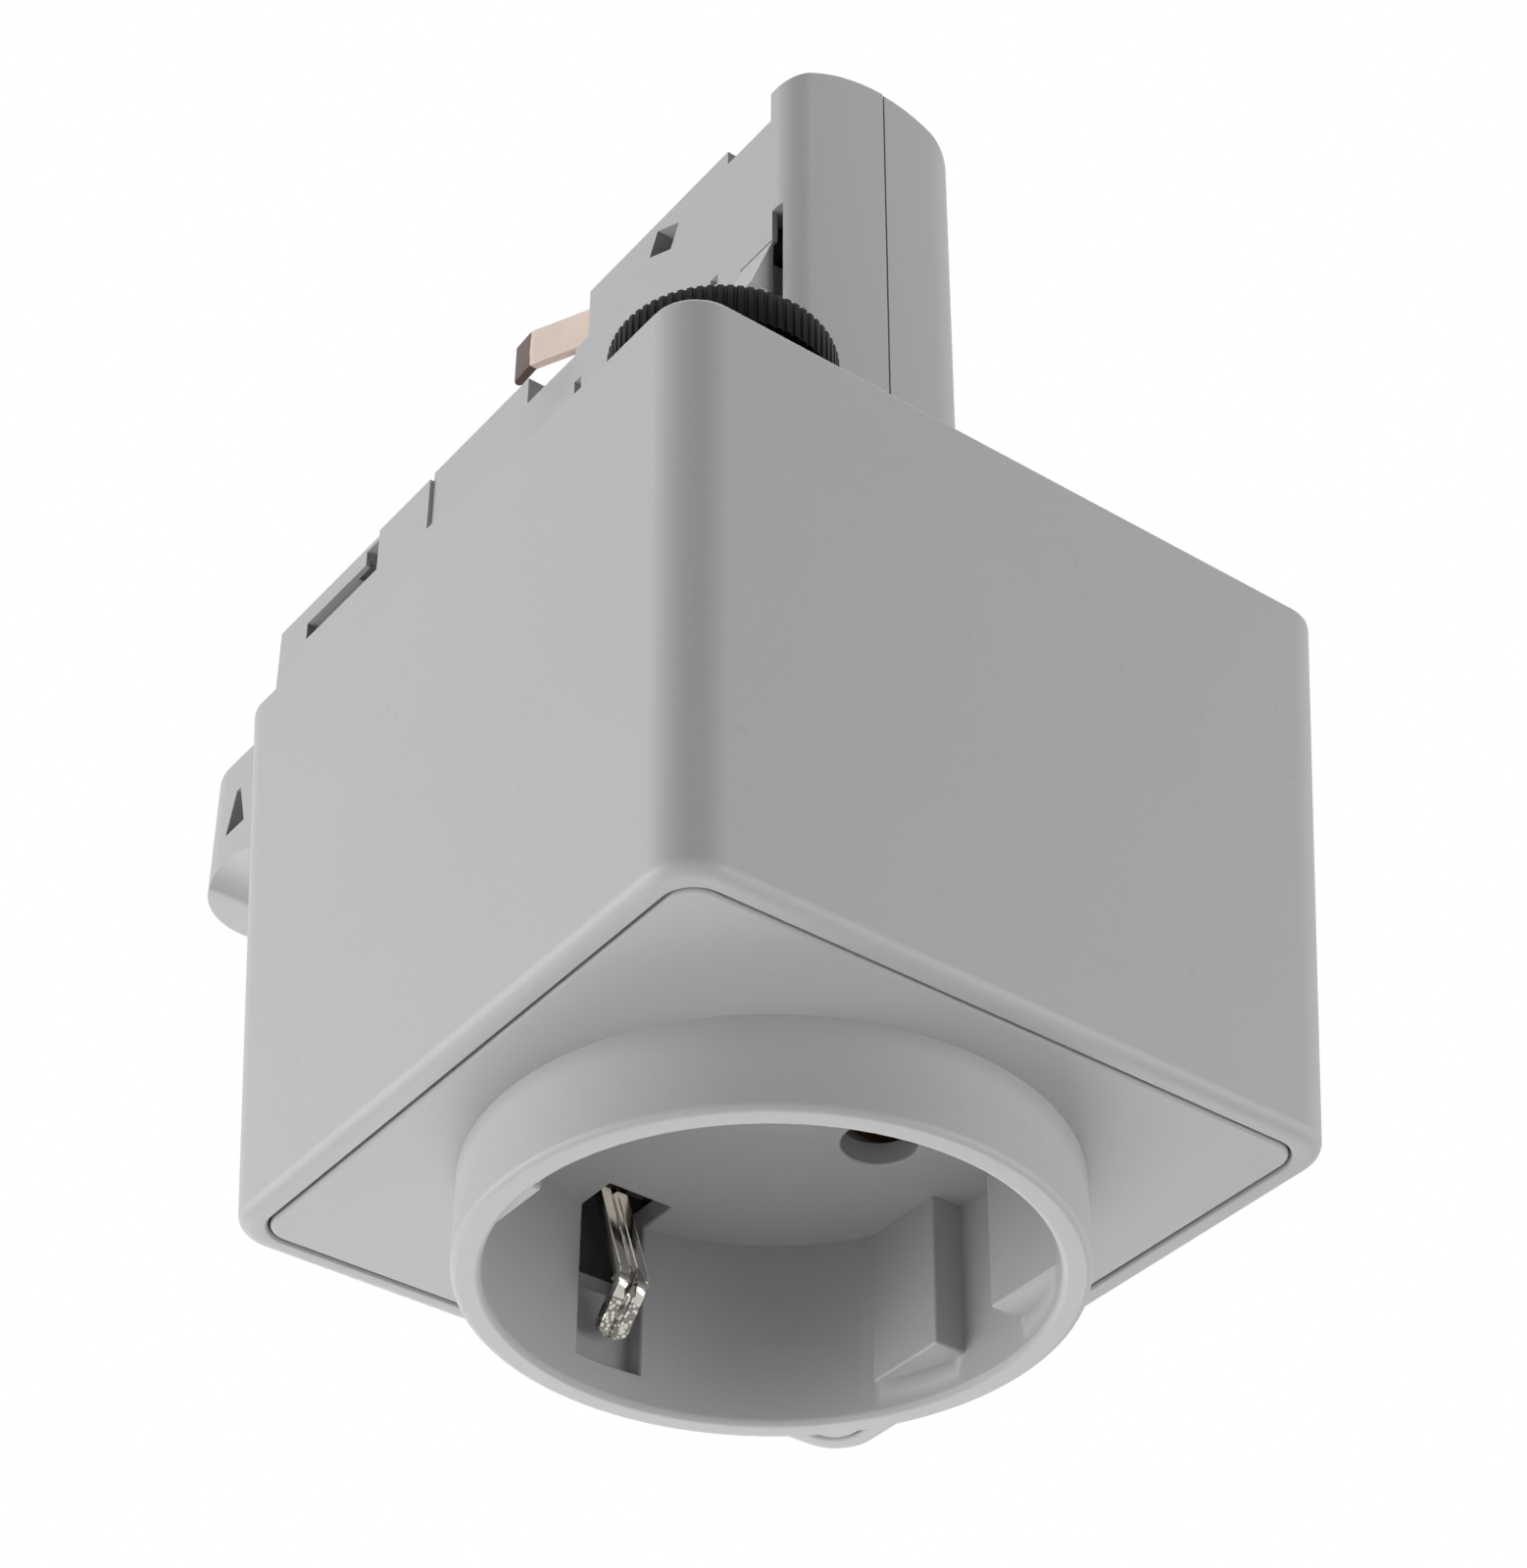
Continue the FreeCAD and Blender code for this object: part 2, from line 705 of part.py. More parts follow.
def fuse_holder():
    """The holder beside the bar, its nut, cap, fuse and solder tags."""
    bottom = f"{BOX_TOP} - fuse_body_length"
    flange_top = f"{BOX_TOP} + fuse_flange_thick"
    flange = rod("z", "fuse_flange", (BOX_TOP, flange_top), FUSE_AT)
    barrel = rod("z", "fuse_body", (bottom, BOX_TOP), FUSE_AT)
    bore = rod("z", "fuse_bore", (f"{bottom} + fuse_floor", f"{flange_top} + 1"), FUSE_AT)
    keep("fuse_holder", cut(fuse(flange, barrel), bore))
    nut_span = (f"{LID_UNDER} - fuse_nut_height", LID_UNDER)
    nut_hole = rod("z", "fuse_body + seat_gap", (f"{nut_span[0]} - 1", f"{LID_UNDER} + 1"), FUSE_AT)
    keep("fuse_nut", cut(hexagon("fuse_nut_radius", nut_span, FUSE_AT), nut_hole))
    fuse_low = f"{bottom} + fuse_floor + 0.3"
    fuse_high = f"{fuse_low} + fuse_length"
    keep("fuse_tube", rod("z", "fuse_radius", (f"{fuse_low} + 0.5", f"{fuse_high} - 0.5"), FUSE_AT))
    ends = []
    for start, finish, bore_start in (
        (fuse_low, f"{fuse_low} + fuse_end_length", f"{fuse_low} + 0.5"),
        (f"{fuse_high} - fuse_end_length", fuse_high, f"{fuse_high} - fuse_end_length - 1"),
    ):
        shell = rod("z", "fuse_end_radius", (start, finish), FUSE_AT)
        inside = rod("z", "fuse_radius", (bore_start, f"{bore_start} + fuse_end_length + 0.5"), FUSE_AT)
        ends.append(cut(shell, inside))
    keep("fuse_ends", group(*ends))
    tag_x = ("fuse_x - tag_thick / 2", "fuse_x + tag_thick / 2")
    tag_y = ("-fuse_y - tag_width / 2", "-fuse_y + tag_width / 2")
    end_tag = box(tag_x, tag_y, (f"{bottom} - tag_length", bottom))
    side_x = ("fuse_x - fuse_body - tag_width", "fuse_x - fuse_body - seat_gap")
    side_y = ("-fuse_y - tag_thick / 2", "-fuse_y + tag_thick / 2")
    side_z = (f"{bottom} + 11", f"{bottom} + 11 + tag_length")
    keep("fuse_tags", group(end_tag, box(side_x, side_y, side_z)))


def fuse_cap():
    """The knurled cap that turns to free the fuse."""
    body = doc.addObject("PartDesign::Body", "cap_blank")
    disc = level_sketch(body, "cap_disc", "0")
    draw_circle(disc, "cap_radius")
    feature(body, "Pad", "cap_pad", disc, "cap_height")
    groove = level_sketch(body, "cap_groove", "cap_height")
    draw_circle(groove, "knurl_radius", "cap_radius")
    first = feature(body, "Pocket", "cap_knurl", groove, "cap_height")
    doc.recompute()
    ring = body.newObject("PartDesign::PolarPattern", "cap_knurls")
    ring.Originals = [first]
    ring.Axis = (disc, ["N_Axis"])
    ring.Angle = 360
    bind(ring, "Occurrences", "knurl_count")
    body.Tip = ring
    bind(body, "Placement.Base.x", FUSE_AT[0])
    bind(body, "Placement.Base.y", FUSE_AT[1])
    bind(body, "Placement.Base.z", CAP_LOW)
    stem = rod("z", "cap_stem", (f"{CAP_LOW} - cap_stem_length", CAP_LOW), FUSE_AT)
    slot = box(
        ("fuse_x - coin_slot_length / 2", "fuse_x + coin_slot_length / 2"),
        ("-fuse_y - coin_slot / 2", "-fuse_y + coin_slot / 2"),
        (f"{CAP_LOW} + cap_height - coin_slot", f"{CAP_LOW} + cap_height + 1"),
    )
    keep("fuse_cap", cut(fuse(body, stem), slot))


def nipple_set():
    """The hollow threaded nipple, its washer and its nut under the lid."""
    centre = ("0", "0")
    top = "-nipple_top"
    bottom = f"{top} - nipple_length"
    tube = rod("z", "nipple_radius", (bottom, top), centre)
    collar_top = f"{top} - nipple_collar_thick"
    collar = rod("z", "nipple_collar", (f"{collar_top} - nipple_collar_thick", collar_top), centre)
    bore = rod("z", "nipple_bore", (f"{bottom} - 1", f"{top} + 1"), centre)
    keep("threaded_nipple", cut(fuse(tube, collar), bore))
    washer_low = f"{LID_UNDER} - washer_thick"
    hole = "nipple_radius + seat_gap"
    washer = rod("z", "washer_radius", (washer_low, LID_UNDER), centre)
    keep("lock_washer", cut(washer, rod("z", hole, (bottom, top), centre)))
    nut = hexagon("nut_radius", (f"{washer_low} - nut_height", washer_low), centre)
    keep("nipple_nut", cut(nut, rod("z", hole, (bottom, top), centre)))


def corner_block(x, y, z, corner):
    """A block whose near front edge is round."""
    round_x = f"({x[1]}) - {corner}"
    round_y = f"({y[0]}) + {corner}"
    return fuse(
        box((x[0], round_x), y, z),
        box(x, (round_y, y[1]), z),
        rod("z", corner, z, (round_x, round_y)),
    )


def bowed_half(start, z, corner):
    """One half of the bar's plan from start to its near end, which is bowed and round at its corner."""
    inner_face = "-parting / 2"
    tangent = f"near_end - (bar_half - {corner})^2 / 2 / end_bow"
    blank = fuse(
        corner_block(("-far_end", tangent), ("-bar_half", inner_face), z, corner),
        box(("-far_end", "near_end"), (f"-bar_half + {corner}", inner_face), z),
    )
    limits = box((start, "near_end"), ("-bar_half", inner_face), z)
    return overlap(overlap(blank, rod("z", "end_bow", z, ("near_end - end_bow", "0"))), limits)


def tilted_window(y):
    """The block that cuts the slanted window."""
    half_wide = "window_wide / 2"
    half_tall = "window_tall / 2"
    block = box(("0", "window_wide"), y, ("0", "window_tall"))
    block.Placement = Placement(Vector(), Rotation(Vector(0, 1, 0), value("window_tilt")))
    along = f"{half_wide} * cos(window_tilt) + {half_tall} * sin(window_tilt)"
    upward = f"{half_wide} * sin(window_tilt) - {half_tall} * cos(window_tilt)"
    bind(block, "Placement.Base.x", f"-window_x - ({along})")
    bind(block, "Placement.Base.y", y[0])
    bind(block, "Placement.Base.z", f"window_z + {upward}")
    return block


def half_shell(corner, inner_corner, wing_shift):
    """The front half of the bar, whose near corner and lock opening are given."""
    inner_face = "-parting / 2"
    wall = f"-({WALL_INSIDE})"
    skin = ("-bar_half - 1", f"{wall} + 0.5")
    mark = ("-bar_half - 1", "-bar_half + mark_depth")
    inside = (wall, "1")
    crown = rod("x", "head_crown", ("head_start", "near_end"), ("0", "head_top - head_crown"))
    outer = [
        bowed_half("-far_end", ("0", "end_height"), corner),
        bowed_half("-hook_near", ("end_height - 1", "mid_height"), corner),
        bowed_half("-ledge_far", ("mid_height - 1", "far_height"), corner),
        bowed_half("-crest_far", ("far_height - 1", "shoulder_height"), corner),
        box(("-crest_far", "crest_near"), ("-bar_half", inner_face), ("shoulder_height - 1", "bar_height")),
        overlap(bowed_half("head_start", ("shoulder_height - 1", "head_top"), corner), crown),
        bowed_half("-foot_start", ("-foot_height", "0.5"), corner),
        box(("-seat_start", "near_end - back_round"), ("-seat_half", inner_face), ("-seat_thick", "0")),
    ]
    roof = "end_height - shell_wall"
    near = "near_end - shell_wall"
    centre = ("0", "0")
    collar_top = "-nipple_top - nipple_collar_thick"
    collar_span = (f"{collar_top} - nipple_collar_thick - seat_gap", f"{collar_top} + seat_gap")
    blade_x = ("-blade_slot_far", "-blade_slot_near")
    blade_z = ("blade_low - fit_gap", "blade_high + fit_gap")
    earth_x = tuple(f"{limit} - earth_offset" for limit in blade_x)
    earth_z = ("earth_low - fit_gap", "earth_high + fit_gap")
    crest_x = ("-crest_far + shell_wall", "crest_near - shell_wall")
    hollow = [
        corner_block(("-far_end + shell_wall", near), inside, ("shell_wall", roof), inner_corner),
        box(crest_x, inside, (f"{roof} - 1", "bar_height - shell_wall")),
        box(("-far_end - 1", "-pivot_x + hub_radius + 0.6"), inside, ("-1", "slider_low - fit_gap")),
        box((blade_x[0], "-blade_root_x + 0.8"), (wall, "-carrier_half + 1"), blade_z),
        rod("z", "nipple_radius + seat_gap", ("-foot_height - 1", "shell_wall + 1"), centre),
        rod("z", "nipple_collar + seat_gap", collar_span, centre),
    ]
    guides = [
        box((start, f"{start} + guide_length"), (f"{wall} - 0.5", "-guide_inner"), level)
        for start in ("-guide_first", "-guide_second")
        for level in (
            ("slider_low - fit_gap - guide_thick", "slider_low - fit_gap"),
            (f"{SLIDER_TOP} + fit_gap", f"{SLIDER_TOP} + fit_gap + guide_thick"),
        )
    ]
    boss_y = (f"{wall} - 0.5", inner_face)
    bosses = [rod("y", "shell_boss", boss_y, at) for at in SHELL_SCREWS if at[1] > 0]
    wing_x = (f"wing_far - {wing_shift} - wing_gap", f"wing_near - {wing_shift} + wing_gap")
    slit_x = (f"wing_near - {wing_shift}", f"slit_near - {wing_shift}")
    ledge_y = ("-bar_half - 1", "-bar_half + ledge_depth")
    behind = ("-bar_half + thin_wall", f"{wall} + 0.5")
    hook_x = ("-hook_near - hook_wide", "-hook_near")
    above = "far_height + 1"
    openings = [
        tilted_window(skin),
        box(("dot_start", "dot_start + dot_width"), mark, ("dot_low", "dot_low + dot_width")),
        box(("-step_start", "-step_start + dot_width"), mark, ("step_low", "ledge_level")),
        box(("-ledge_far", "-ledge_near"), ledge_y, ("ledge_level", above)),
        box(hook_x, skin, ("hook_low", "end_height - thin_wall")),
        box((f"{hook_x[0]} - hook_wide", hook_x[1]), behind, ("hook_low", roof)),
        box(("-hook_far", "-hook_near"), skin, ("hook_low", "hook_mid")),
        box(blade_x, skin, blade_z),
        box((blade_x[0], "-blade_elbow_x + 1"), behind, blade_z),
        box(earth_x, skin, earth_z),
        box((earth_x[0], "-blade_elbow_x - earth_offset + 1"), behind, earth_z),
        box(wing_x, skin, ("wing_low - wing_gap", "wing_high + wing_gap")),
        box(slit_x, skin, ("slit_low", "slit_high")),
        box((wing_x[0], slit_x[1]), behind, ("wing_high", "slit_high")),
        rod("y", "pivot_radius + 0.02", ("-pivot_half - 0.1", "1"), ("-pivot_x", "pivot_z")),
    ]
    return cut(fuse(cut(fuse(*outer), *hollow), *guides, *bosses), *openings)


def adapter_shells():
    """The bar's two half shells and their screws."""
    cores = [rod("y", "shell_core", ("-shell_screw_tip - 0.3", "1"), at) for at in SHELL_SCREWS]
    keep("adapter_shell_front", cut(half_shell("front_round", "fit_gap", "0"), *cores))
    head_at = "bar_half - shell_head_depth"
    holes = [rod("y", "shell_hole", ("-1", "bar_half + 1"), at) for at in SHELL_SCREWS]
    wells = [rod("y", "shell_head_hole", (head_at, "bar_half + 1"), at) for at in SHELL_SCREWS]
    back = half_shell("back_round", "(back_round - shell_wall)", "wing_shift")
    keep("adapter_shell_back", cut(mirrored(back, Vector(0, 1, 0)), *holes, *wells))
    screws = []
    for at in SHELL_SCREWS:
        shank = rod("y", "shell_shank", ("-shell_screw_tip", head_at), at)
        head = rod("y", "shell_head", (head_at, "bar_half - 0.2"), at)
        socket = hexagon_socket(at)
        screws.append(cut(fuse(shank, head), socket))
    keep("shell_screws", group(*screws))


def hexagon_socket(at):
    """The six-sided recess of a shell screw's head."""
    socket = doc.addObject("Part::Prism", "socket")
    socket.Placement = Placement(Vector(), AXIS_TURN["y"])
    bind(socket, "Circumradius", "shell_head / 2")
    bind(socket, "Height", "shell_head_depth")
    for letter, place in zip("xyz", (at[0], "bar_half - 0.9", at[1])):
        bind(socket, f"Placement.Base.{letter}", str(place))
    return socket


def release_lever():
    """The lever that is pulled down at the bar's far end, its pin and its spring."""
    pivot = ("-pivot_x", "pivot_z")
    grip_z = ("grip_low", "grip_high")
    round_x = "-grip_end + grip_round"
    round_y = "bar_half - grip_round"
    grip = fuse(
        box((round_x, "-grip_start"), both("bar_half"), grip_z),
        box(("-grip_end", "-grip_start"), both(round_y), grip_z),
        *(rod("z", "grip_round", grip_z, (round_x, y)) for y in both(round_y)),
    )
    arm = box(("-grip_start - 1", "-pivot_x"), both("arm_half"), ("arm_low", "arm_high"))
    hub = rod("y", "hub_radius", both("arm_half"), pivot)
    finger_x = ("-pivot_x - finger_half", "-pivot_x + finger_half")
    finger = box(finger_x, both("finger_width / 2"), ("pivot_z", "finger_top"))
    bore = rod("y", "pivot_bore", both("bar_half"), pivot)
    window = wedge(
        Rotation(Vector(1, 0, 0), 90),
        ("-grip_window_far", "-grip_window_near"),
        ("-grip_window_peak - 0.3", "-grip_window_peak + 0.3"),
        ("grip_window_low", "grip_window_high"),
        ("grip_web / 2", "bar_half + 1"),
    )
    scoop_at = ("-scoop_x", "grip_low + scoop_depth - scoop_radius")
    scoop = rod("y", "scoop_radius", both("bar_half + 1"), scoop_at)
    lever = fuse(grip, arm, hub, finger)
    keep("release_lever", cut(lever, bore, window, mirrored(window, Vector(0, 1, 0)), scoop))
    keep("lever_pin", rod("y", "pivot_radius", both("pivot_half"), pivot))
    path = (
        ("-spring_foot_x", "-spring_foot_y", "spring_low"),
        ("-spring_crest_x", "0", "spring_low"),
        ("-spring_foot_x", "spring_foot_y", "spring_low"),
    )
    rise = ("0", "0", "spring_high - spring_low")
    keep("lever_spring", bent_strip(path, "spring_thick", "spring_bend", rise))


def wing_slot(shift, through):
    """The slanted slot of the slider that moves a wing's pin."""
    slope = math.degrees(math.atan2(value("wing_travel"), value("slider_travel")))
    along = box(("0", "sqrt(slider_travel^2 + wing_travel^2)"), both("wing_slot"), through)
    along.Placement = Placement(Vector(), Rotation(Vector(0, 0, 1), slope))
    start = (f"wing_pin_x - {shift}", "-wing_pin_y")
    end = (f"wing_pin_x - {shift} + slider_travel", "-wing_pin_y + wing_travel")
    bind(along, "Placement.Base.x", f"{start[0]} + wing_slot * {math.sin(math.radians(slope))}")
    bind(along, "Placement.Base.y", f"{start[1]} - wing_slot * {math.cos(math.radians(slope))}")
    bind(along, "Placement.Base.z", through[0])
    return fuse(along, *(rod("z", "wing_slot", through, at) for at in (start, end)))


def lock_wing(shift):
    """A wedge-nosed wing on the front side with the pin that the slider moves."""
    outer = "-bar_half + 0.1"
    wing_x = (f"wing_far - {shift}", f"wing_near - {shift}")
    trunk_x = (wing_x[0], f"wing_trunk - {shift}")
    trunk = box(trunk_x, (outer, "-wing_inner"), ("wing_low", "wing_high"))
    nose = wedge(
        Rotation(Vector(1, 1, 1), 120),
        ("-wing_reach", outer),
        (f"{outer} - 0.05", outer),
        ("wing_low", "wing_high"),
        wing_x,
    )
    pin_at = (f"wing_pin_x - {shift}", "-wing_pin_y")
    pin = rod("z", "wing_pin", ("wing_high - 1", f"{SLIDER_TOP} + 0.4"), pin_at)
    return fuse(trunk, nose, pin)


def lock_parts():
    """The slider that the lever pulls and the two wings that it draws in."""
    level = ("slider_low", SLIDER_TOP)
    bar = box(("-slider_far", "slider_near"), both("slider_half"), level)
    head = box(("slider_head", "slider_near"), both("slider_head_half"), level)
    through = ("slider_low - 1", f"{SLIDER_TOP} + 1")
    window = box(
        ("-pivot_x - slider_window", "-pivot_x + slider_window"),
        both("finger_width / 2 + fit_gap"),
        through,
    )
    back_slot = mirrored(wing_slot("wing_shift", through), Vector(0, 1, 0))
    keep("lock_slider", cut(fuse(bar, head), window, wing_slot("0", through), back_slot))
    keep("lock_wing_front", lock_wing("0"))
    keep("lock_wing_back", mirrored(lock_wing("wing_shift"), Vector(0, 1, 0)))


def track_contacts():
    """Sprung blades for the track's live, neutral and earth conductors, and their carriers."""
    plan = (
        ("-blade_root_x", "-blade_root_y"),
        ("-blade_elbow_x", "-blade_elbow_y"),
        ("-blade_crest_x", "-blade_crest_y"),
        ("-blade_tip_x", "-blade_tip_y"),
    )
    for front, back, offset, low, high in (
        ("live_blade", "neutral_blade", "0", "blade_low", "blade_high"),
        ("earth_blade_front", "earth_blade_back", "earth_offset", "earth_low", "earth_high"),
    ):
        path = [(f"{x} - {offset}", y, low) for x, y in plan]
        blade = bent_strip(path, "blade_thick", "blade_bend", ("0", "0", f"{high} - {low}"))
        keep(front, blade)
        keep(back, mirrored(blade, Vector(0, 1, 0)))
    width = both("carrier_half")
    carrier = box(("-carrier_far", "-carrier_near"), width, ("carrier_low", "bar_height - shell_wall"))
    keep("contact_carrier", carrier)
    earth_x = ("-carrier_far - earth_offset", "-carrier_near - earth_offset")
    keep("earth_carrier", box(earth_x, width, ("shell_wall", "earth_high + fit_gap")))


def leads():
    """The wires from the track contacts through the nipple to the socket and the fuse."""
    lead(
        "live_lead",
        (-9.2, -6.3, 22.3),
        (-9.2, -6.3, 12.0),
        (-3.0, -3.2, 7.0),
        (0, -1.9, -2.0),
        (0, -1.9, -32.2),
        (4.0, -10.0, -32.2),
        (12.7, -18.5, -31.0),
    )
    lead(
        "neutral_lead",
        (-9.2, 6.3, 22.3),
        (-9.2, 6.3, 12.0),
        (-2.0, 3.0, 7.0),
        (1.6, 1.0, -2.0),
        (1.6, 1.0, -33.5),
        (0.8, 11.3, -33.5),
    )
    lead(
        "earth_lead",
        (-22.4, 0, 5.0),
        (-5.5, 0, 7.5),
        (-1.7, 0.9, -2.0),
        (-1.7, 0.9, -36.3),
        (6.0, 4.4, -36.3),
        (17.0, 1.2, -36.3),
        (17.2, 0.4, -42.1),
    )
    lead(
        "fuse_lead",
        (18.7, -19.9, -49.9),
        (8.0, -20.4, -47.3),
        (1.5, -18.8, -40.6),
        (0, -15.7, -34.1),
    )


housing_shell()
top_lid()
keep("lid_screws", group(*(screw(at, BOX_TOP, "screw_length") for at in LID_SCREWS)))
socket_plate()
contact_block()
pin_contacts()
earth_parts()
fuse_holder()
fuse_cap()
nipple_set()
adapter_shells()
release_lever()
lock_parts()
track_contacts()
leads()
doc.recompute()

for item in doc.Objects:
    if "Invalid" in item.State or "Error" in item.State:
        raise RuntimeError(f"{item.Name} ({item.Label}) failed: {item.State}")
os.makedirs("parts", exist_ok=True)
for item in parts:
    if item.Shape.isNull() or not item.Shape.isValid():
        raise RuntimeError(f"{item.Label} has no valid shape")
    item.Shape.exportStep(f"parts/{item.Label}.step")
    limits = item.Shape.BoundBox
    print(f"{item.Label:22s} solids {len(item.Shape.Solids)} volume {item.Shape.Volume:9.1f}", end=" ")
    print(f"x {limits.XMin:6.1f} {limits.XMax:6.1f} y {limits.YMin:6.1f} {limits.YMax:6.1f}", end=" ")
    print(f"z {limits.ZMin:6.1f} {limits.ZMax:6.1f}")
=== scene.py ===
"""Track socket adapter: the finishes and the soft-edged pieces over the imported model."""

import json
import math

import bmesh
import bpy
from mathutils import Matrix, Vector


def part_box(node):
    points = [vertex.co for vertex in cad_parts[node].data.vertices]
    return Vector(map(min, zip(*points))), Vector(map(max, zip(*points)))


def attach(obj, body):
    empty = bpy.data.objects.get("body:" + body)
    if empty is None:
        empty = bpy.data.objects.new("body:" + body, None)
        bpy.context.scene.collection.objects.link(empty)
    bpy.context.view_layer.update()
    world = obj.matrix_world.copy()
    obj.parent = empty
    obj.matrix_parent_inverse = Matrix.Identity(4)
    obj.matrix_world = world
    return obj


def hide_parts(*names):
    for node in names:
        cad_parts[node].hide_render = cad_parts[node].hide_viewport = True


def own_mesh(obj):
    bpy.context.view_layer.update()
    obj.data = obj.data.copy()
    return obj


bl_info = {
    "name": "Track Socket Adapter",
    "version": (1, 0, 0),
    "blender": (4, 5, 0),
    "location": "View3D > Sidebar > Adapter",
    "description": "Builds the visible pieces, the finishes and the stage of a track socket adapter",
    "category": "Object",
}

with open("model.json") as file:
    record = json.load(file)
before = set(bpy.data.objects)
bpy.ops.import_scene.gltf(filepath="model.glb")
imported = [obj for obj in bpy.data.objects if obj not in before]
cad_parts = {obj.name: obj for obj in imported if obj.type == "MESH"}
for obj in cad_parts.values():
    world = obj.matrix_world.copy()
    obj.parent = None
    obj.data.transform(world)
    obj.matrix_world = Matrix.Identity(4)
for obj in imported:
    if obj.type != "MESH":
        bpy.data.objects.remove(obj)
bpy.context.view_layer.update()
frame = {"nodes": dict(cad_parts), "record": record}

MM = 0.001

# Points closer than this are one point
MERGE = 1e-6

# Points closer than this to a level or a radius lie on it
NEAR = 0.01 * MM

# Faces of a CAD node that differ by less than this are one flat face
FLAT_ANGLE = math.radians(0.5)

# Edges that turn by more than this are rounded
SHARP_ANGLE = math.radians(30)

# Edges of a finished piece that turn by more than this are shaded sharp
SHADED_SHARP = math.radians(32)

CORNER_STEPS = 14
BEND_STEPS = 10

BOX_LOW, BOX_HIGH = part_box("housing_shell")
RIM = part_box("socket_plate")[0].z


def length(name, description, size):
    """A length property with its default in millimetres."""
    return bpy.props.FloatProperty(name=name, description=description, default=size * MM, unit="LENGTH")


def colour(name, description, default):
    """A colour property."""
    return bpy.props.FloatVectorProperty(
        name=name, description=description, default=default, subtype="COLOR", size=3, min=0, max=1
    )


class AdapterSizes(bpy.types.PropertyGroup):
    """Sizes of the modelled pieces."""

    box_draft: length("Box draft", "How far the wall leans out over its height", 2.1)
    box_corner: length("Box corner", "Radius of the box's upright corners", 3.6)
    box_edge: length("Box edge", "Radius of the box's lower edge", 0.9)
    box_rim: length("Box rim", "Radius of the box's upper edge", 0.4)
    cavity_half: length("Cavity half width", "Half of the box's hollow", 26.45)
    cavity_corner: length("Cavity corner", "Radius of the hollow's upright corners", 3.2)
    frame_thick: length("Frame thickness", "Thickness of the frame round the plate", 2.5)
    window_half: length("Window half width", "Half of the window in the box's floor", 25.7)
    window_corner: length("Window corner", "Radius of the window's corners", 2.4)
    plate_edge: length("Plate edge", "Radius of the edges either side of the gap round the plate", 0.25)
    collar_radius: length("Collar radius", "Outer radius of the collar", 21.6)
    recess_radius: length("Recess radius", "Radius of the plug recess", 19.5)
    rim_round: length("Rim radius", "Radius of the collar's two rim edges", 0.5)
    head_round: length("Head radius", "Radius of the upper edge at the bar's end", 1.2)
    head_drop: length("Head drop", "How far the head's upper edges lie below its crown", 3.2)
    soft_edge: length("Soft edge", "Radius of small moulded edges and of the lid screws' edges", 0.2)
    lever_edge: length("Lever edge", "Radius of the release lever's edges", 0.4)
    knurl_edge: length("Knurl edge", "Radius of the edges of the fuse cap's knurls", 0.05)
    screw_edge: length("Screw edge", "Radius of the edges of the bar's screws", 0.15)
    metal_edge: length("Metal edge", "Radius of the edges of metal strips", 0.12)
    clip_wide: length("Clip width", "Width of an earth clip", 2.5)
    clip_thick: length("Clip thickness", "Thickness of an earth clip", 0.9)
    clip_bend: length("Clip bend", "Radius of an earth clip's bend", 1.6)


class AdapterColours(bpy.types.PropertyGroup):
    """Colours of the finishes."""

    grey: colour("Grey plastic", "Housing, socket plate and bar", (0.45, 0.45, 0.456))
    black: colour("Black plastic", "Fuse holder, carriers and lock slider", (0.003, 0.003, 0.0032))
    block: colour("Block plastic", "Contact block", (0.70, 0.68, 0.62))
    nickel: colour("Nickel", "Earth clips, earth strap and fuse ends", (0.66, 0.63, 0.58))
    copper: colour("Copper alloy", "Track contact blades", (0.80, 0.66, 0.57))
    # The blades' dark band beyond each crest is a painted dark reflection in their colour
    painted_dark_reflection: colour("Painted dark reflection", "Tips of the track contact blades", (0.10, 0.065, 0.05))
    steel: colour("Zinc plated steel", "Screws, nipple, nut, pin and spring", (0.36, 0.365, 0.37))
    brass: colour("Brass", "Pin contacts", (0.72, 0.50, 0.22))
    glass: colour("Glass", "Fuse tube", (0.95, 0.97, 0.97))
    live: colour("Live lead", "Insulation of the live leads", (0.16, 0.06, 0.025))
    neutral: colour("Neutral lead", "Insulation of the neutral lead", (0.03, 0.10, 0.40))
    earth: colour("Earth lead", "Insulation of the earth lead", (0.22, 0.42, 0.05))
    floor: colour("Floor", "Studio floor", (0.86, 0.86, 0.86))


def sizes():
    return bpy.context.scene.adapter_sizes


def colours():
    return bpy.context.scene.adapter_colours


# Finishes

# The clips are coined up to this height above the rim
COINED_HEIGHT = 6.8 * MM

# Distance along the bar between the two pairs of blades
BLADE_PITCH = 17.6 * MM

# Where each blade's painted dark reflection starts and ends, counted along the bar from a multiple of the
# pitch
DARK_REFLECTION_START = 3 * MM
DARK_REFLECTION_END = 8 * MM
DARK_REFLECTION_RAGGED = 0.6 * MM

# Depth of the lines that drawing leaves in a metal, and how they are stretched along an axis
LINE_DEPTH = 0.02 * MM
ALONG_BAR = (0.08, 1, 1)
ALONG_CLIP = (1, 1, 0.08)
ALONG_PIN = (1, 1, 0.1)
EVEN = (1, 1, 1)


def shade(rgb, factor):
    """A darker or lighter form of a colour."""
    return tuple(part * factor for part in rgb)


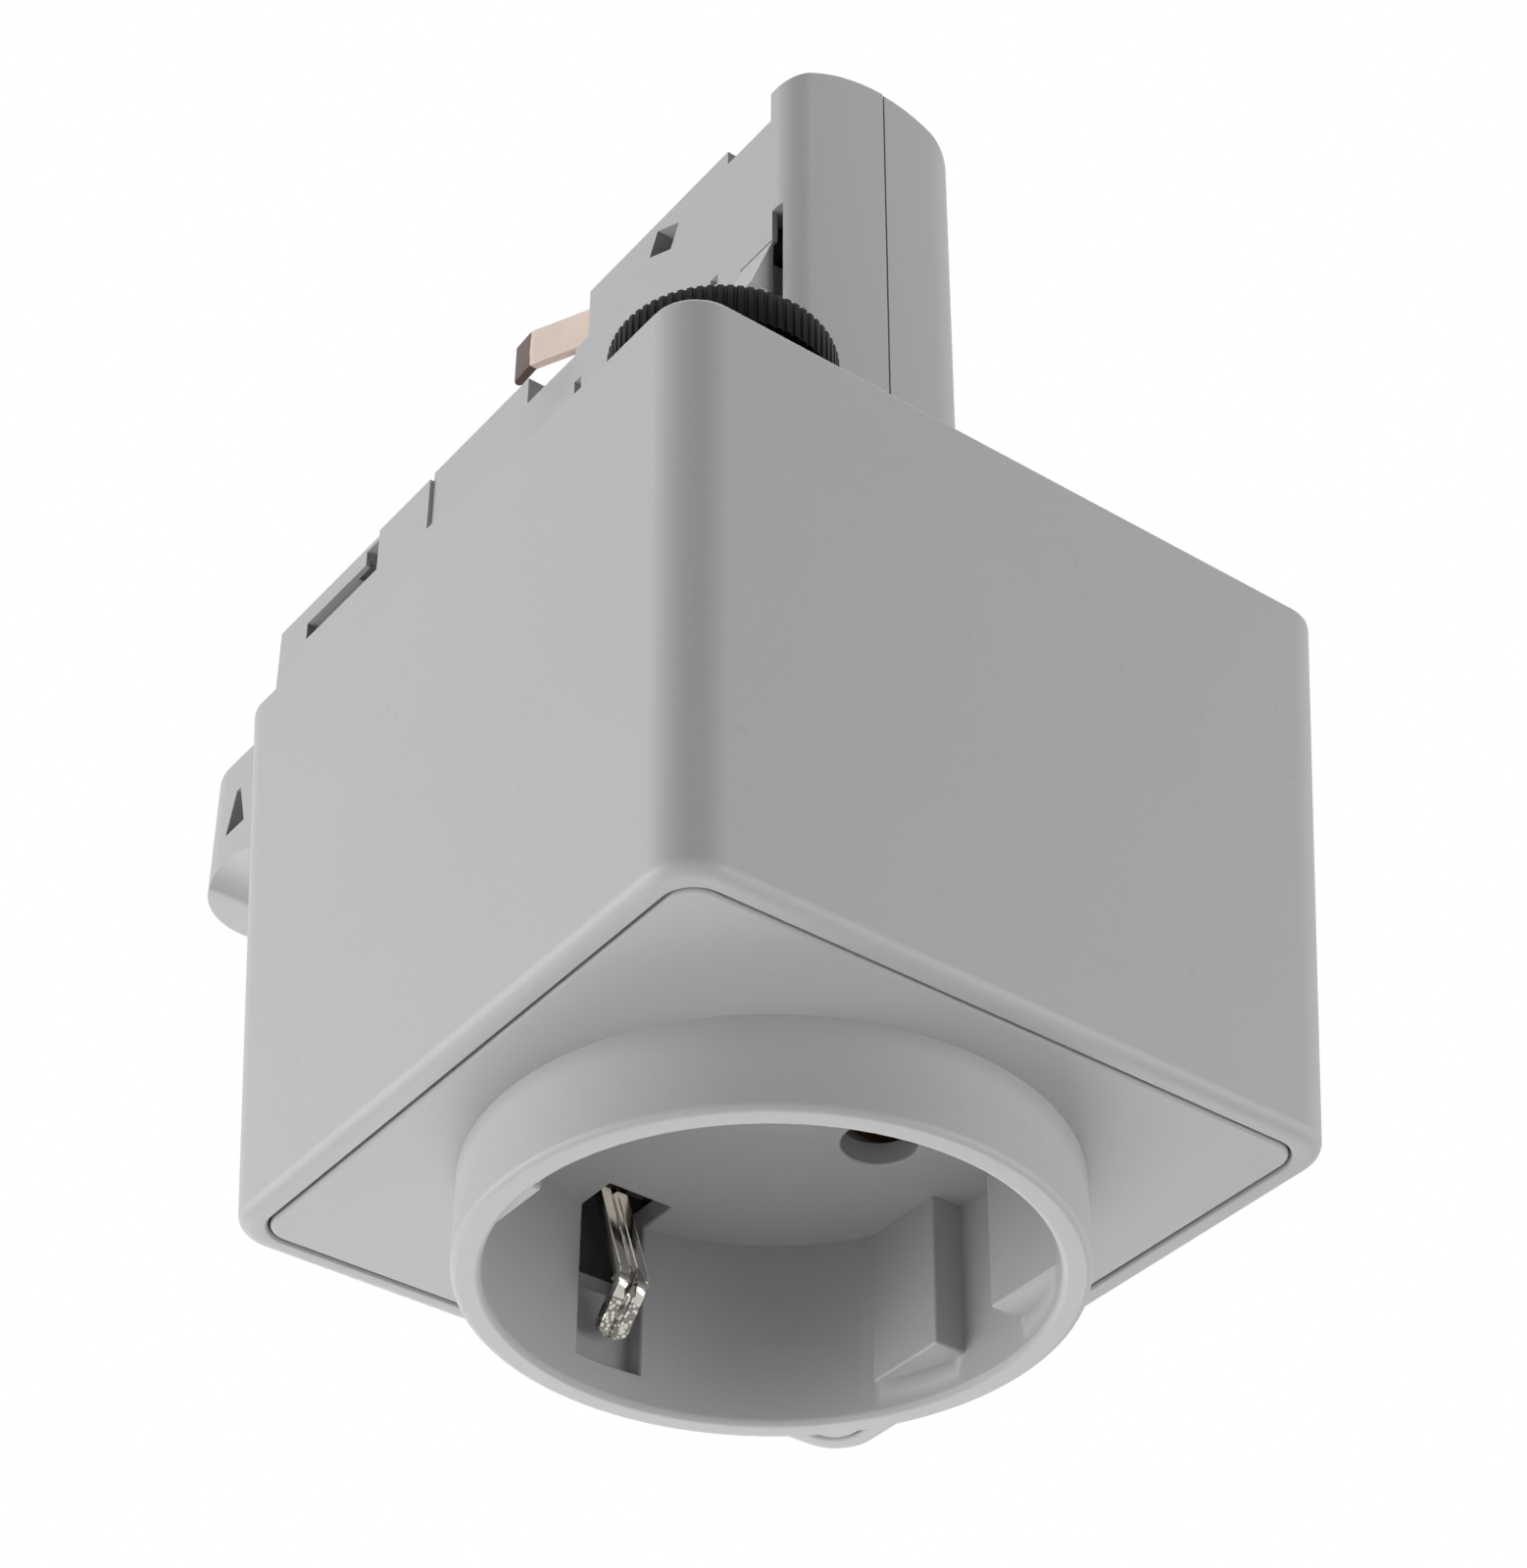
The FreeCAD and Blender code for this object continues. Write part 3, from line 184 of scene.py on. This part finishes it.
class Signal:
    """A shader socket that takes part in Python sums."""

    def __init__(self, nodes, socket):
        self.nodes = nodes
        self.socket = socket

    def combine(self, operation, first, second):
        return self.nodes.add("ShaderNodeMath", {"operation": operation}, {0: first, 1: second})

    def __add__(self, other):
        return self.combine("ADD", self, other)

    def __sub__(self, other):
        return self.combine("SUBTRACT", self, other)

    def __rsub__(self, other):
        return self.combine("SUBTRACT", other, self)

    def __mul__(self, other):
        return self.combine("MULTIPLY", self, other)

    def __mod__(self, other):
        return self.combine("FLOORED_MODULO", self, other)

    def __rmod__(self, other):
        return self.combine("FLOORED_MODULO", other, self)

    def __or__(self, other):
        return self.combine("MAXIMUM", self, other)

    def __gt__(self, other):
        return self.combine("GREATER_THAN", self, other)

    def __lt__(self, other):
        return self.combine("LESS_THAN", self, other)

    __radd__ = __add__
    __rmul__ = __mul__
    __ror__ = __or__


class Nodes:
    """The node tree of a material or a world."""

    def __init__(self, owner):
        self.owner = owner
        owner.use_nodes = True
        self.tree = owner.node_tree
        self.tree.nodes.clear()

    def add(self, kind, settings=None, inputs=None, output=0):
        """A node of a kind, with its settings and the values or links of its sockets."""
        node = self.tree.nodes.new(kind)
        for name, setting in (settings or {}).items():
            setattr(node, name, setting)
        for name, given in (inputs or {}).items():
            if isinstance(given, Signal):
                self.tree.links.new(given.socket, node.inputs[name])
            else:
                node.inputs[name].default_value = given
        return Signal(self, node.outputs[output]) if node.outputs else None

    def place(self):
        return self.add("ShaderNodeTexCoord", output="Object")

    def along(self, axis, place):
        """One coordinate of a place."""
        return self.add("ShaderNodeSeparateXYZ", inputs={"Vector": place}, output=axis)

    def stretched(self, place, stretch):
        """A place scaled along each axis."""
        return self.add("ShaderNodeMapping", inputs={"Vector": place, "Scale": stretch})

    def noise(self, scale, detail, roughness=0.55, place=None):
        inputs = {"Vector": place or self.place(), "Scale": scale, "Detail": detail, "Roughness": roughness}
        return self.add("ShaderNodeTexNoise", inputs=inputs)

    def tint(self, factor, first, second):
        """A colour between two colours, either of which can be a signal."""
        ends = [end if isinstance(end, Signal) else (*end, 1) for end in (first, second)]
        inputs = {0: factor, 6: ends[0], 7: ends[1]}
        return self.add("ShaderNodeMix", {"data_type": "RGBA"}, inputs, output=2)

    def mottled(self, factor, rgb, darkest, lightest):
        """A colour between a darker and a lighter form of one colour."""
        return self.tint(factor, shade(rgb, darkest), shade(rgb, lightest))

    def bump(self, height, strength, distance):
        inputs = {"Height": height, "Strength": strength, "Distance": distance}
        return self.add("ShaderNodeBump", inputs=inputs)

    def surface(self, **inputs):
        """The finished material; a socket's name is written with underscores."""
        named = {name.replace("_", " "): given for name, given in inputs.items()}
        shader = self.add("ShaderNodeBsdfPrincipled", inputs=named)
        self.add("ShaderNodeOutputMaterial", inputs={"Surface": shader})
        return self.owner


def finish_nodes(name):
    """The empty node tree of a new material."""
    return Nodes(bpy.data.materials.new(name))


def moulded_plastic(name, rgb, rough, grain, depth, shine=0.5):
    """Moulded plastic with the fine grain of an eroded tool, faint flow marks and a few specks."""
    nodes = finish_nodes(name)
    place = nodes.place()
    fine = nodes.noise(scale=grain, detail=2, roughness=0.6, place=place)
    broad = nodes.noise(scale=55, detail=2, roughness=0.5, place=place)
    speck = nodes.noise(scale=950, detail=0, roughness=0.5, place=place) > 0.8
    base = nodes.mottled(broad * 0.7 + fine * 0.3, rgb, 0.96, 1.04)
    return nodes.surface(
        Base_Color=nodes.tint(speck * 0.12, base, shade(rgb, 0.7)),
        Roughness=fine * 0.16 + broad * 0.06 + (rough - 0.11),
        Specular_IOR_Level=shine,
        Normal=nodes.bump(fine + broad * 0.4, strength=0.3, distance=depth),
    )


def metal(name, rgb, rough, stretch):
    """Bare metal with drawn lines along one axis and a cloudy sheen."""
    nodes = finish_nodes(name)
    place = nodes.place()
    lines = nodes.noise(scale=900, detail=3, roughness=0.6, place=nodes.stretched(place, stretch))
    cloud = nodes.noise(scale=240, detail=3, place=place)
    return nodes.surface(
        Base_Color=nodes.mottled(cloud, rgb, 0.82, 1.1),
        Metallic=1.0,
        Roughness=lines * 0.12 + cloud * 0.14 + (rough - 0.13),
        Normal=nodes.bump(lines, strength=0.25, distance=LINE_DEPTH),
    )


def clip_nickel(rgb):
    """Bright nickel with drawn lines, coined rough at the clips' tips."""
    nodes = finish_nodes("clip_nickel")
    place = nodes.place()
    lines = nodes.noise(scale=1600, detail=3, roughness=0.6, place=nodes.stretched(place, ALONG_CLIP))
    pits = nodes.add("ShaderNodeTexVoronoi", inputs={"Vector": place, "Scale": 3200})
    tip = nodes.along("Z", place) < RIM + COINED_HEIGHT
    bright = nodes.mottled(lines, rgb, 0.86, 1.08)
    return nodes.surface(
        Base_Color=nodes.tint(tip * (pits > 0.45), bright, shade(rgb, 0.35)),
        Metallic=1.0,
        Roughness=lines * 0.1 + tip * 0.12 + 0.1,
        Normal=nodes.bump(lines * 0.25 + tip * pits, strength=0.25, distance=0.03 * MM),
    )


def blade_copper(rgb, dark):
    """Satin copper alloy, with a painted dark reflection beyond the crest of each blade."""
    nodes = finish_nodes("blade_copper")
    place = nodes.place()
    lines = nodes.noise(scale=900, detail=3, roughness=0.6, place=nodes.stretched(place, ALONG_BAR))
    cloud = nodes.noise(scale=300, detail=3, place=place)
    # Beyond each blade's crest the copper is painted darker and less metallic, as a painted dark reflection
    reach = (nodes.along("X", place) * -1 + cloud * DARK_REFLECTION_RAGGED) % BLADE_PITCH
    tip = (reach > DARK_REFLECTION_START) * (reach < DARK_REFLECTION_END)
    plain_copper = nodes.mottled(cloud, rgb, 0.86, 1.08)
    return nodes.surface(
        Base_Color=nodes.tint(tip, plain_copper, nodes.mottled(cloud, dark, 0.7, 1.3)),
        Metallic=0.35 - tip * 0.2,
        Roughness=lines * 0.12 + cloud * 0.12 + tip * 0.12 + 0.24,
        Normal=nodes.bump(lines, strength=0.25, distance=LINE_DEPTH),
    )


def clear_glass(rgb):
    """Thin clear glass with faint draw lines."""
    nodes = finish_nodes("fuse_glass")
    lines = nodes.noise(scale=300, detail=1, roughness=0.5)
    return nodes.surface(
        Base_Color=(*rgb, 1),
        Roughness=lines * 0.06 + 0.02,
        IOR=1.5,
        Transmission_Weight=1.0,
    )


def insulation(name, rgb):
    """Extruded wire insulation."""
    return moulded_plastic(name, rgb, rough=0.42, grain=1500, depth=0.03 * MM)


def make_finishes():
    """Every finish, by the record's material slot."""
    tints = colours()
    return {
        "grey_plastic": moulded_plastic("grey_plastic", tints.grey, 0.52, grain=3200, depth=0.05 * MM),
        "black_plastic": moulded_plastic(
            "black_plastic", tints.black, 0.5, grain=2600, depth=0.05 * MM, shine=0.08
        ),
        "block_plastic": moulded_plastic("block_plastic", tints.block, 0.5, grain=2200, depth=0.04 * MM),
        "clip_nickel": clip_nickel(tints.nickel),
        "blade_copper": blade_copper(tints.copper, tints.painted_dark_reflection),
        "screw_steel": metal("screw_steel", tints.steel, 0.42, EVEN),
        "spring_steel": metal("spring_steel", shade(tints.steel, 0.8), 0.3, ALONG_BAR),
        "contact_brass": metal("contact_brass", tints.brass, 0.3, ALONG_PIN),
        "fuse_glass": clear_glass(tints.glass),
        "live_insulation": insulation("live_insulation", tints.live),
        "neutral_insulation": insulation("neutral_insulation", tints.neutral),
        "earth_insulation": insulation("earth_insulation", tints.earth),
    }


# Filled by main, once the colours are registered
finishes = {}


def slot_of(node):
    """The material slot that the record gives a node."""
    entry = next(item for item in frame["record"]["subparts"] if item["node"] == node)
    return entry["material_slot"]


def body_of(node):
    """The body that the record gives a node."""
    bodies = frame["record"]["behaviour"]["bodies"]
    return next(body for body, nodes in bodies.items() if node in nodes)


# Meshes

def holder(bm, name):
    """An object in the scene for a finished bmesh."""
    mesh = bpy.data.meshes.new(name)
    bm.to_mesh(mesh)
    bm.free()
    obj = bpy.data.objects.new(name, mesh)
    bpy.context.scene.collection.objects.link(obj)
    return obj


def piece(bm, name, node):
    """Makes an object of a finished bmesh; it stands for a node and moves with its body."""
    obj = holder(bm, name)
    obj.data.shade_smooth()
    obj.data.set_sharp_from_angle(angle=SHADED_SHARP)
    slot = slot_of(node)
    obj.data.materials.append(finishes[slot])
    weighted = obj.modifiers.new("flat faces stay flat", "WEIGHTED_NORMAL")
    weighted.keep_sharp = True
    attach(obj, body_of(node))
    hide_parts(node)
    return obj


def bevel(bm, edges, width, segments):
    """Rounds edges."""
    bmesh.ops.bevel(
        bm,
        geom=edges,
        offset=width,
        offset_type="OFFSET",
        affect="EDGES",
        segments=segments,
        profile=0.5,
        material=-1,
        clamp_overlap=True,
    )


def sharp_edges(bm, angle=SHARP_ANGLE):
    """Edges where two faces meet at more than an angle."""
    return [edge for edge in bm.edges if edge.is_manifold and edge.calc_face_angle() > angle]


def level_edges(bm, level):
    """Edges that lie at a level."""
    return [edge for edge in bm.edges if all(abs(v.co.z - level) < NEAR for v in edge.verts)]


def ring_edges(bm, radius, level):
    """Edges of a ring about the Z axis."""
    return [
        edge
        for edge in level_edges(bm, level)
        if all(abs(v.co.xy.length - radius) < NEAR for v in edge.verts)
    ]


def node_copy(node):
    """A merged copy of a CAD node whose flat faces are whole again."""
    bm = bmesh.new()
    bm.from_mesh(frame["nodes"][node].data)
    bmesh.ops.remove_doubles(bm, verts=bm.verts[:], dist=MERGE)
    bmesh.ops.dissolve_limit(
        bm, angle_limit=FLAT_ANGLE, use_dissolve_boundaries=False, verts=bm.verts[:], edges=bm.edges[:]
    )
    return bm


def softened(node, width, segments=2):
    """A CAD node's copy with small round edges."""
    bm = node_copy(node)
    bevel(bm, sharp_edges(bm), width, segments)
    return piece(bm, f"{node}_moulded", node)


def square_loop(bm, half, corner, level):
    """Adds the outline of a level square with round corners and gives back its edges."""
    place = Matrix.Translation((0, 0, level))
    grid = bmesh.ops.create_grid(bm, x_segments=1, y_segments=1, size=half, matrix=place)
    rounded = bmesh.ops.bevel(
        bm,
        geom=grid["verts"],
        offset=corner,
        offset_type="OFFSET",
        affect="VERTICES",
        segments=CORNER_STEPS,
        profile=0.5,
        material=-1,
    )
    face = rounded["verts"][0].link_faces[0]
    edges = face.edges[:]
    bmesh.ops.delete(bm, geom=[face], context="FACES_ONLY")
    return edges


def extruded(bm, face):
    """Extrudes a face in place and gives back the new face."""
    made = bmesh.ops.extrude_face_region(bm, geom=[face])["geom"]
    return next(item for item in made if isinstance(item, bmesh.types.BMFace))


def bent_strip(points, across, section, bend):
    """A strip along a bent line in a plane, and its last face.

    The section is an outline of (across, thick) points, and bend is the radius of each bend.
    """
    bm = bmesh.new()
    points = [Vector(point) for point in points]
    across = Vector(across)
    headings = [(end - start).normalized() for start, end in zip(points, points[1:])]
    thick = headings[0].cross(across)
    corners = [bm.verts.new(points[0] + across * a + thick * t) for a, t in section]
    face = bm.faces.new(corners)
    spot = points[0]
    for corner, heading, following in zip(points[1:], headings, headings[1:] + [None]):
        turn = heading.angle(following) if following else 0
        reach = bend * math.tan(turn / 2)
        run = (corner - spot).dot(heading) - reach
        face = extruded(bm, face)
        bmesh.ops.translate(bm, verts=face.verts[:], vec=heading * run)
        spot = spot + heading * run
        if following:
            axis = heading.cross(following).normalized()
            centre = spot + axis.cross(heading) * bend
            step = Matrix.Rotation(turn / BEND_STEPS, 3, axis)
            for _ in range(BEND_STEPS):
                face = extruded(bm, face)
                bmesh.ops.rotate(bm, verts=face.verts[:], cent=centre, matrix=step)
            spot = corner + following * reach
    bmesh.ops.recalc_face_normals(bm, faces=bm.faces[:])
    return bm, face


# Pieces

class ADAPTER_OT_box(bpy.types.Operator):
    """Builds the drafted box and the lid that closes it."""

    bl_idname = "adapter.box"
    bl_label = "Box"

    # Loops of one level are bridged while one of them is lifted, so that the faces don't cross
    LIFT = 0.5 * MM

    def execute(self, context):
        size = sizes()
        top = BOX_HIGH.z
        bottom = BOX_LOW.z
        ledge = bottom + size.frame_thick
        bm = bmesh.new()
        loops = [
            square_loop(bm, half, corner, level)
            for half, corner, level in (
                (BOX_HIGH.x, size.box_corner, top),
                (BOX_HIGH.x - size.box_draft, size.box_corner, bottom),
                (size.window_half, size.window_corner, bottom + self.LIFT),
                (size.window_half, size.window_corner, ledge),
                (size.cavity_half, size.cavity_corner, ledge + self.LIFT),
                (size.cavity_half, size.cavity_corner, top + self.LIFT),
            )
        ]
        outer_top, outer_bottom, window_bottom, _, cavity_bottom, cavity_top = loops
        for loop, following in zip(loops, loops[1:] + loops[:1]):
            bmesh.ops.bridge_loops(bm, edges=loop + following)
        for loop in (window_bottom, cavity_bottom, cavity_top):
            lifted = list({vert for edge in loop for vert in edge.verts})
            bmesh.ops.translate(bm, verts=lifted, vec=(0, 0, -self.LIFT))
        bmesh.ops.recalc_face_normals(bm, faces=bm.faces[:])
        bevel(bm, outer_top + cavity_top, size.box_rim, segments=4)
        bevel(bm, window_bottom, size.plate_edge, segments=4)
        bevel(bm, outer_bottom, size.box_edge, segments=8)
        piece(bm, "box", "housing_shell")
        softened("top_lid", size.box_rim)
        return {"FINISHED"}


class ADAPTER_OT_socket_face(bpy.types.Operator):
    """Rounds the edges of the plate, its collar, the plug recess, the guide ribs and the clip slots."""

    bl_idname = "adapter.socket_face"
    bl_label = "Socket face"

    # Edges of the plate's outline turn by more than this, in radians
    OUTLINE_ANGLE = 1.0

    def execute(self, context):
        size = sizes()
        bm = node_copy("socket_plate")
        collar = ring_edges(bm, size.collar_radius, RIM)
        mouth = ring_edges(bm, size.recess_radius, RIM)
        bevel(bm, collar + mouth, size.rim_round, segments=5)
        outline = [edge for edge in level_edges(bm, BOX_LOW.z) if self.is_outline(edge)]
        bevel(bm, outline, size.plate_edge, segments=4)
        ridges = [edge for edge in sharp_edges(bm) if edge.is_convex]
        bevel(bm, ridges, size.soft_edge, segments=3)
        piece(bm, "socket_face", "socket_plate")
        return {"FINISHED"}

    def is_outline(self, edge):
        """Whether an edge of the plate's face turns down to its side."""
        return edge.is_convex and edge.calc_face_angle() > self.OUTLINE_ANGLE


class ADAPTER_OT_earth_clips(bpy.types.Operator):
    """Builds the two sprung earth clips with their groove and their round tips."""

    bl_idname = "adapter.earth_clips"
    bl_label = "Earth clips"

    # Distances from the socket's axis and heights above the rim, in millimetres
    PATH = ((20.2, 18.2), (16.6, 8.2), (19.5, 4.9))

    # Shares of the strip's half width and half thickness
    GROOVE_HALF = 0.25
    GROOVE_DEPTH = 0.5

    def execute(self, context):
        size = sizes()
        half_wide = size.clip_wide / 2
        section = self.section(half_wide, size.clip_thick / 2)
        for node, side in (("earth_clip_far", -1), ("earth_clip_near", 1)):
            path = [(side * x * MM, 0, RIM + z * MM) for x, z in self.PATH]
            bm, tip = bent_strip(path, (0, -side, 0), section, size.clip_bend)
            corners = [edge for edge in tip.edges if self.is_side(edge, half_wide)]
            bevel(bm, corners, size.clip_wide / 3, segments=5)
            bevel(bm, sharp_edges(bm), size.metal_edge, segments=2)
            piece(bm, f"{node}_strip", node)
        return {"FINISHED"}

    def section(self, half_wide, half_thick):
        """The strip's outline as (across, thick) points, with a groove along its inner face."""
        reach = self.GROOVE_HALF * half_wide
        return [
            (-half_wide, -half_thick),
            (half_wide, -half_thick),
            (half_wide, half_thick),
            (reach, half_thick),
            (0, half_thick * (1 - self.GROOVE_DEPTH)),
            (-reach, half_thick),
            (-half_wide, half_thick),
        ]

    @staticmethod
    def is_side(edge, half_wide):
        """Whether an edge runs along one side of the strip."""
        first, second = (v.co.y for v in edge.verts)
        return abs(first - second) < MERGE and abs(abs(first) - half_wide) < MERGE


class ADAPTER_OT_fuse(bpy.types.Operator):
    """Builds the knurled fuse cap and the holder's flange."""

    bl_idname = "adapter.fuse"
    bl_label = "Fuse cap"

    def execute(self, context):
        size = sizes()
        softened("fuse_cap", size.knurl_edge)
        softened("fuse_holder", size.soft_edge)
        return {"FINISHED"}


class ADAPTER_OT_bar(bpy.types.Operator):
    """Builds the bar's two half shells and their screws."""

    bl_idname = "adapter.bar"
    bl_label = "Bar"

    # The head's edges turn by more than this angle and reach further than this from the parting line
    HEAD_ANGLE = math.radians(25)
    HEAD_REACH = 1 * MM

    def execute(self, context):
        size = sizes()
        for node in ("adapter_shell_front", "adapter_shell_back"):
            bm = node_copy(node)
            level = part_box(node)[1].z - size.head_drop
            head = [edge for edge in sharp_edges(bm, self.HEAD_ANGLE) if self.is_outer(edge, level)]
            bevel(bm, head, size.head_round, segments=6)
            bevel(bm, sharp_edges(bm), size.soft_edge, segments=2)
            piece(bm, f"{node}_moulded", node)
        softened("shell_screws", size.screw_edge)
        return {"FINISHED"}

    def is_outer(self, edge, level):
        """Whether an edge lies above a level and away from the parting line."""
        away = any(abs(v.co.y) > self.HEAD_REACH for v in edge.verts)
        return away and edge.is_convex and all(v.co.z > level for v in edge.verts)


class ADAPTER_OT_lever(bpy.types.Operator):
    """Builds the release lever and the leaf spring with round edges, the spring on a mesh of its own."""

    bl_idname = "adapter.lever"
    bl_label = "Release lever"

    # Share of its length that the spring keeps when the lever is pulled down
    SPRING_LEFT = 0.55

    def execute(self, context):
        size = sizes()
        softened("release_lever", size.lever_edge, segments=3)
        spring = softened("lever_spring", size.metal_edge)
        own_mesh(spring)
        return {"FINISHED"}


class ADAPTER_OT_lock(bpy.types.Operator):
    """Builds the two lock wings and the slider."""

    bl_idname = "adapter.lock"
    bl_label = "Lock"

    def execute(self, context):
        for node in ("lock_wing_front", "lock_wing_back", "lock_slider"):
            softened(node, sizes().soft_edge)
        return {"FINISHED"}


class ADAPTER_OT_blades(bpy.types.Operator):
    """Builds the sprung blades that touch the track's conductors."""

    bl_idname = "adapter.blades"
    bl_label = "Track blades"

    def execute(self, context):
        for node in ("live_blade", "neutral_blade", "earth_blade_front", "earth_blade_back"):
            softened(node, sizes().metal_edge)
        return {"FINISHED"}


class ADAPTER_OT_lid_screws(bpy.types.Operator):
    """Builds the slotted pan head screws of the lid."""

    bl_idname = "adapter.lid_screws"
    bl_label = "Lid screws"

    def execute(self, context):
        softened("lid_screws", sizes().soft_edge)
        return {"FINISHED"}


class ADAPTER_OT_inner_parts(bpy.types.Operator):
    """Gives every CAD node its finish, those inside the box and the bar too."""

    bl_idname = "adapter.inner_parts"
    bl_label = "Inner parts"

    def execute(self, context):
        for node, obj in frame["nodes"].items():
            obj.data.materials.clear()
            obj.data.materials.append(finishes[slot_of(node)])
        return {"FINISHED"}


# Stage

CAMERA_TURN = math.radians(53.534)
CAMERA_RISE = math.radians(-38.137)
CAMERA_ROLL = math.radians(0.330)
CAMERA_AIM = Vector((0, 0, -35.6 * MM))

# To the right, up and back from the aim
CAMERA_OFFSET = Vector((-0.690 * MM, 4.441 * MM, 275 * MM))

CAMERA_LENS = 86.09
CAMERA_SENSOR = 36
CAMERA_NEAREST = 10 * MM


def turned_axes(turn, rise, roll=0.0):
    """Right, up and back of something that looks at the object from a direction."""
    back = Vector((math.sin(turn) * math.cos(rise), -math.cos(turn) * math.cos(rise), math.sin(rise)))
    right = Vector((0, 0, 1)).cross(back).normalized()
    axes = Matrix((right, back.cross(right), back)).transposed()
    return axes @ Matrix.Rotation(roll, 3, "Z")


class ADAPTER_OT_stage(bpy.types.Operator):
    """Sets the floor, the world, the lamps and the camera."""

    bl_idname = "adapter.stage"
    bl_label = "Stage"

    AMBIENT = 0.04
    FLOOR_GLOW = 0.85
    FLOOR_LEVEL = -0.55
    FLOOR_HALF = 4

    # Name, turn and rise in degrees, distance and width in metres, power in watts
    LAMPS = (
        ("left softbox", -27, -10, 0.7, 0.55, 4.9),
        ("right softbox", 124, -10, 0.7, 0.55, 3.4),
        ("under softbox", -115, -34, 0.7, 0.55, 3.0),
        ("top softbox", 0, 89, 0.8, 0.6, 3.5),
    )

    def execute(self, context):
        scene = context.scene
        scene.view_settings.view_transform = "Standard"
        self.camera(scene)
        self.world(scene)
        for lamp in self.LAMPS:
            self.lamp(scene, *lamp)
        self.floor()
        return {"FINISHED"}

    def camera(self, scene):
        data = bpy.data.cameras.new("camera")
        data.sensor_width = CAMERA_SENSOR
        data.lens = CAMERA_LENS
        data.clip_start = CAMERA_NEAREST
        obj = bpy.data.objects.new("camera", data)
        axes = turned_axes(CAMERA_TURN, CAMERA_RISE, CAMERA_ROLL)
        obj.matrix_world = Matrix.Translation(CAMERA_AIM + axes @ CAMERA_OFFSET) @ axes.to_4x4()
        scene.collection.objects.link(obj)
        scene.camera = obj

    def lamp(self, scene, name, turn, rise, distance, width, power):
        data = bpy.data.lights.new(name, "AREA")
        data.size = width
        data.energy = power
        obj = bpy.data.objects.new(name, data)
        axes = turned_axes(math.radians(turn), math.radians(rise))
        obj.matrix_world = Matrix.Translation(CAMERA_AIM + axes @ Vector((0, 0, distance))) @ axes.to_4x4()
        obj.visible_camera = False
        scene.collection.objects.link(obj)

    def world(self, scene):
        """A white surround for the camera, reflections and glass, and a softer light for the rest."""
        world = bpy.data.worlds.new("studio")
        nodes = Nodes(world)
        seen = nodes.add("ShaderNodeBackground", inputs={"Color": (1, 1, 1, 1)})
        light = nodes.add("ShaderNodeBackground", inputs={"Color": (1, 1, 1, 1), "Strength": self.AMBIENT})
        mix = nodes.add("ShaderNodeMixShader", inputs={0: self.looks(nodes), 1: light, 2: seen})
        nodes.add("ShaderNodeOutputWorld", inputs={"Surface": mix})
        scene.world = world

    @staticmethod
    def looks(nodes):
        """One for rays from the camera, in reflections and through glass, and zero for the rest."""
        camera, glossy, through = (
            nodes.add("ShaderNodeLightPath", output=ray)
            for ray in ("Is Camera Ray", "Is Glossy Ray", "Is Transmission Ray")
        )
        return camera | glossy | through

    def floor(self):
        """A pale floor; part of its tone shows only to the camera, in reflections and through glass."""
        bm = bmesh.new()
        place = Matrix.Translation((0, 0, self.FLOOR_LEVEL))
        bmesh.ops.create_grid(bm, x_segments=1, y_segments=1, size=self.FLOOR_HALF, matrix=place)
        obj = holder(bm, "floor")
        nodes = finish_nodes("floor")
        cloud = nodes.noise(scale=3, detail=2)
        pale = nodes.mottled(cloud, colours().floor, 0.97, 1)
        rough = cloud * 0.1 + 0.7
        matt = nodes.add("ShaderNodeBsdfPrincipled", inputs={"Base Color": pale, "Roughness": rough})
        glow = nodes.add("ShaderNodeEmission", inputs={"Color": pale})
        shown = self.looks(nodes) * self.FLOOR_GLOW
        mix = nodes.add("ShaderNodeMixShader", inputs={0: shown, 1: matt, 2: glow})
        nodes.add("ShaderNodeOutputMaterial", inputs={"Surface": mix})
        obj.data.materials.append(nodes.owner)


class ADAPTER_PT_sidebar(bpy.types.Panel):
    """Lists the operators and the sizes and colours they use."""

    bl_idname = "ADAPTER_PT_sidebar"
    bl_label = "Track socket adapter"
    bl_space_type = "VIEW_3D"
    bl_region_type = "UI"
    bl_category = "Adapter"

    def draw(self, context):
        for operator in OPERATORS:
            self.layout.operator(operator.bl_idname)
        for group in (sizes(), colours()):
            column = self.layout.column(align=True)
            for name in group.__annotations__:
                column.prop(group, name)


OPERATORS = (
    ADAPTER_OT_inner_parts,
    ADAPTER_OT_box,
    ADAPTER_OT_socket_face,
    ADAPTER_OT_earth_clips,
    ADAPTER_OT_fuse,
    ADAPTER_OT_bar,
    ADAPTER_OT_lever,
    ADAPTER_OT_lock,
    ADAPTER_OT_blades,
    ADAPTER_OT_lid_screws,
    ADAPTER_OT_stage,
)
CLASSES = (AdapterSizes, AdapterColours, *OPERATORS, ADAPTER_PT_sidebar)


def register():
    for cls in CLASSES:
        bpy.utils.register_class(cls)
    bpy.types.Scene.adapter_sizes = bpy.props.PointerProperty(type=AdapterSizes)
    bpy.types.Scene.adapter_colours = bpy.props.PointerProperty(type=AdapterColours)


def unregister():
    del bpy.types.Scene.adapter_colours
    del bpy.types.Scene.adapter_sizes
    for cls in reversed(CLASSES):
        bpy.utils.unregister_class(cls)


def main():
    register()
    finishes.update(make_finishes())
    for operator in OPERATORS:
        group, name = operator.bl_idname.split(".")
        getattr(getattr(bpy.ops, group), name)()


if __name__ == "__main__":
    main()
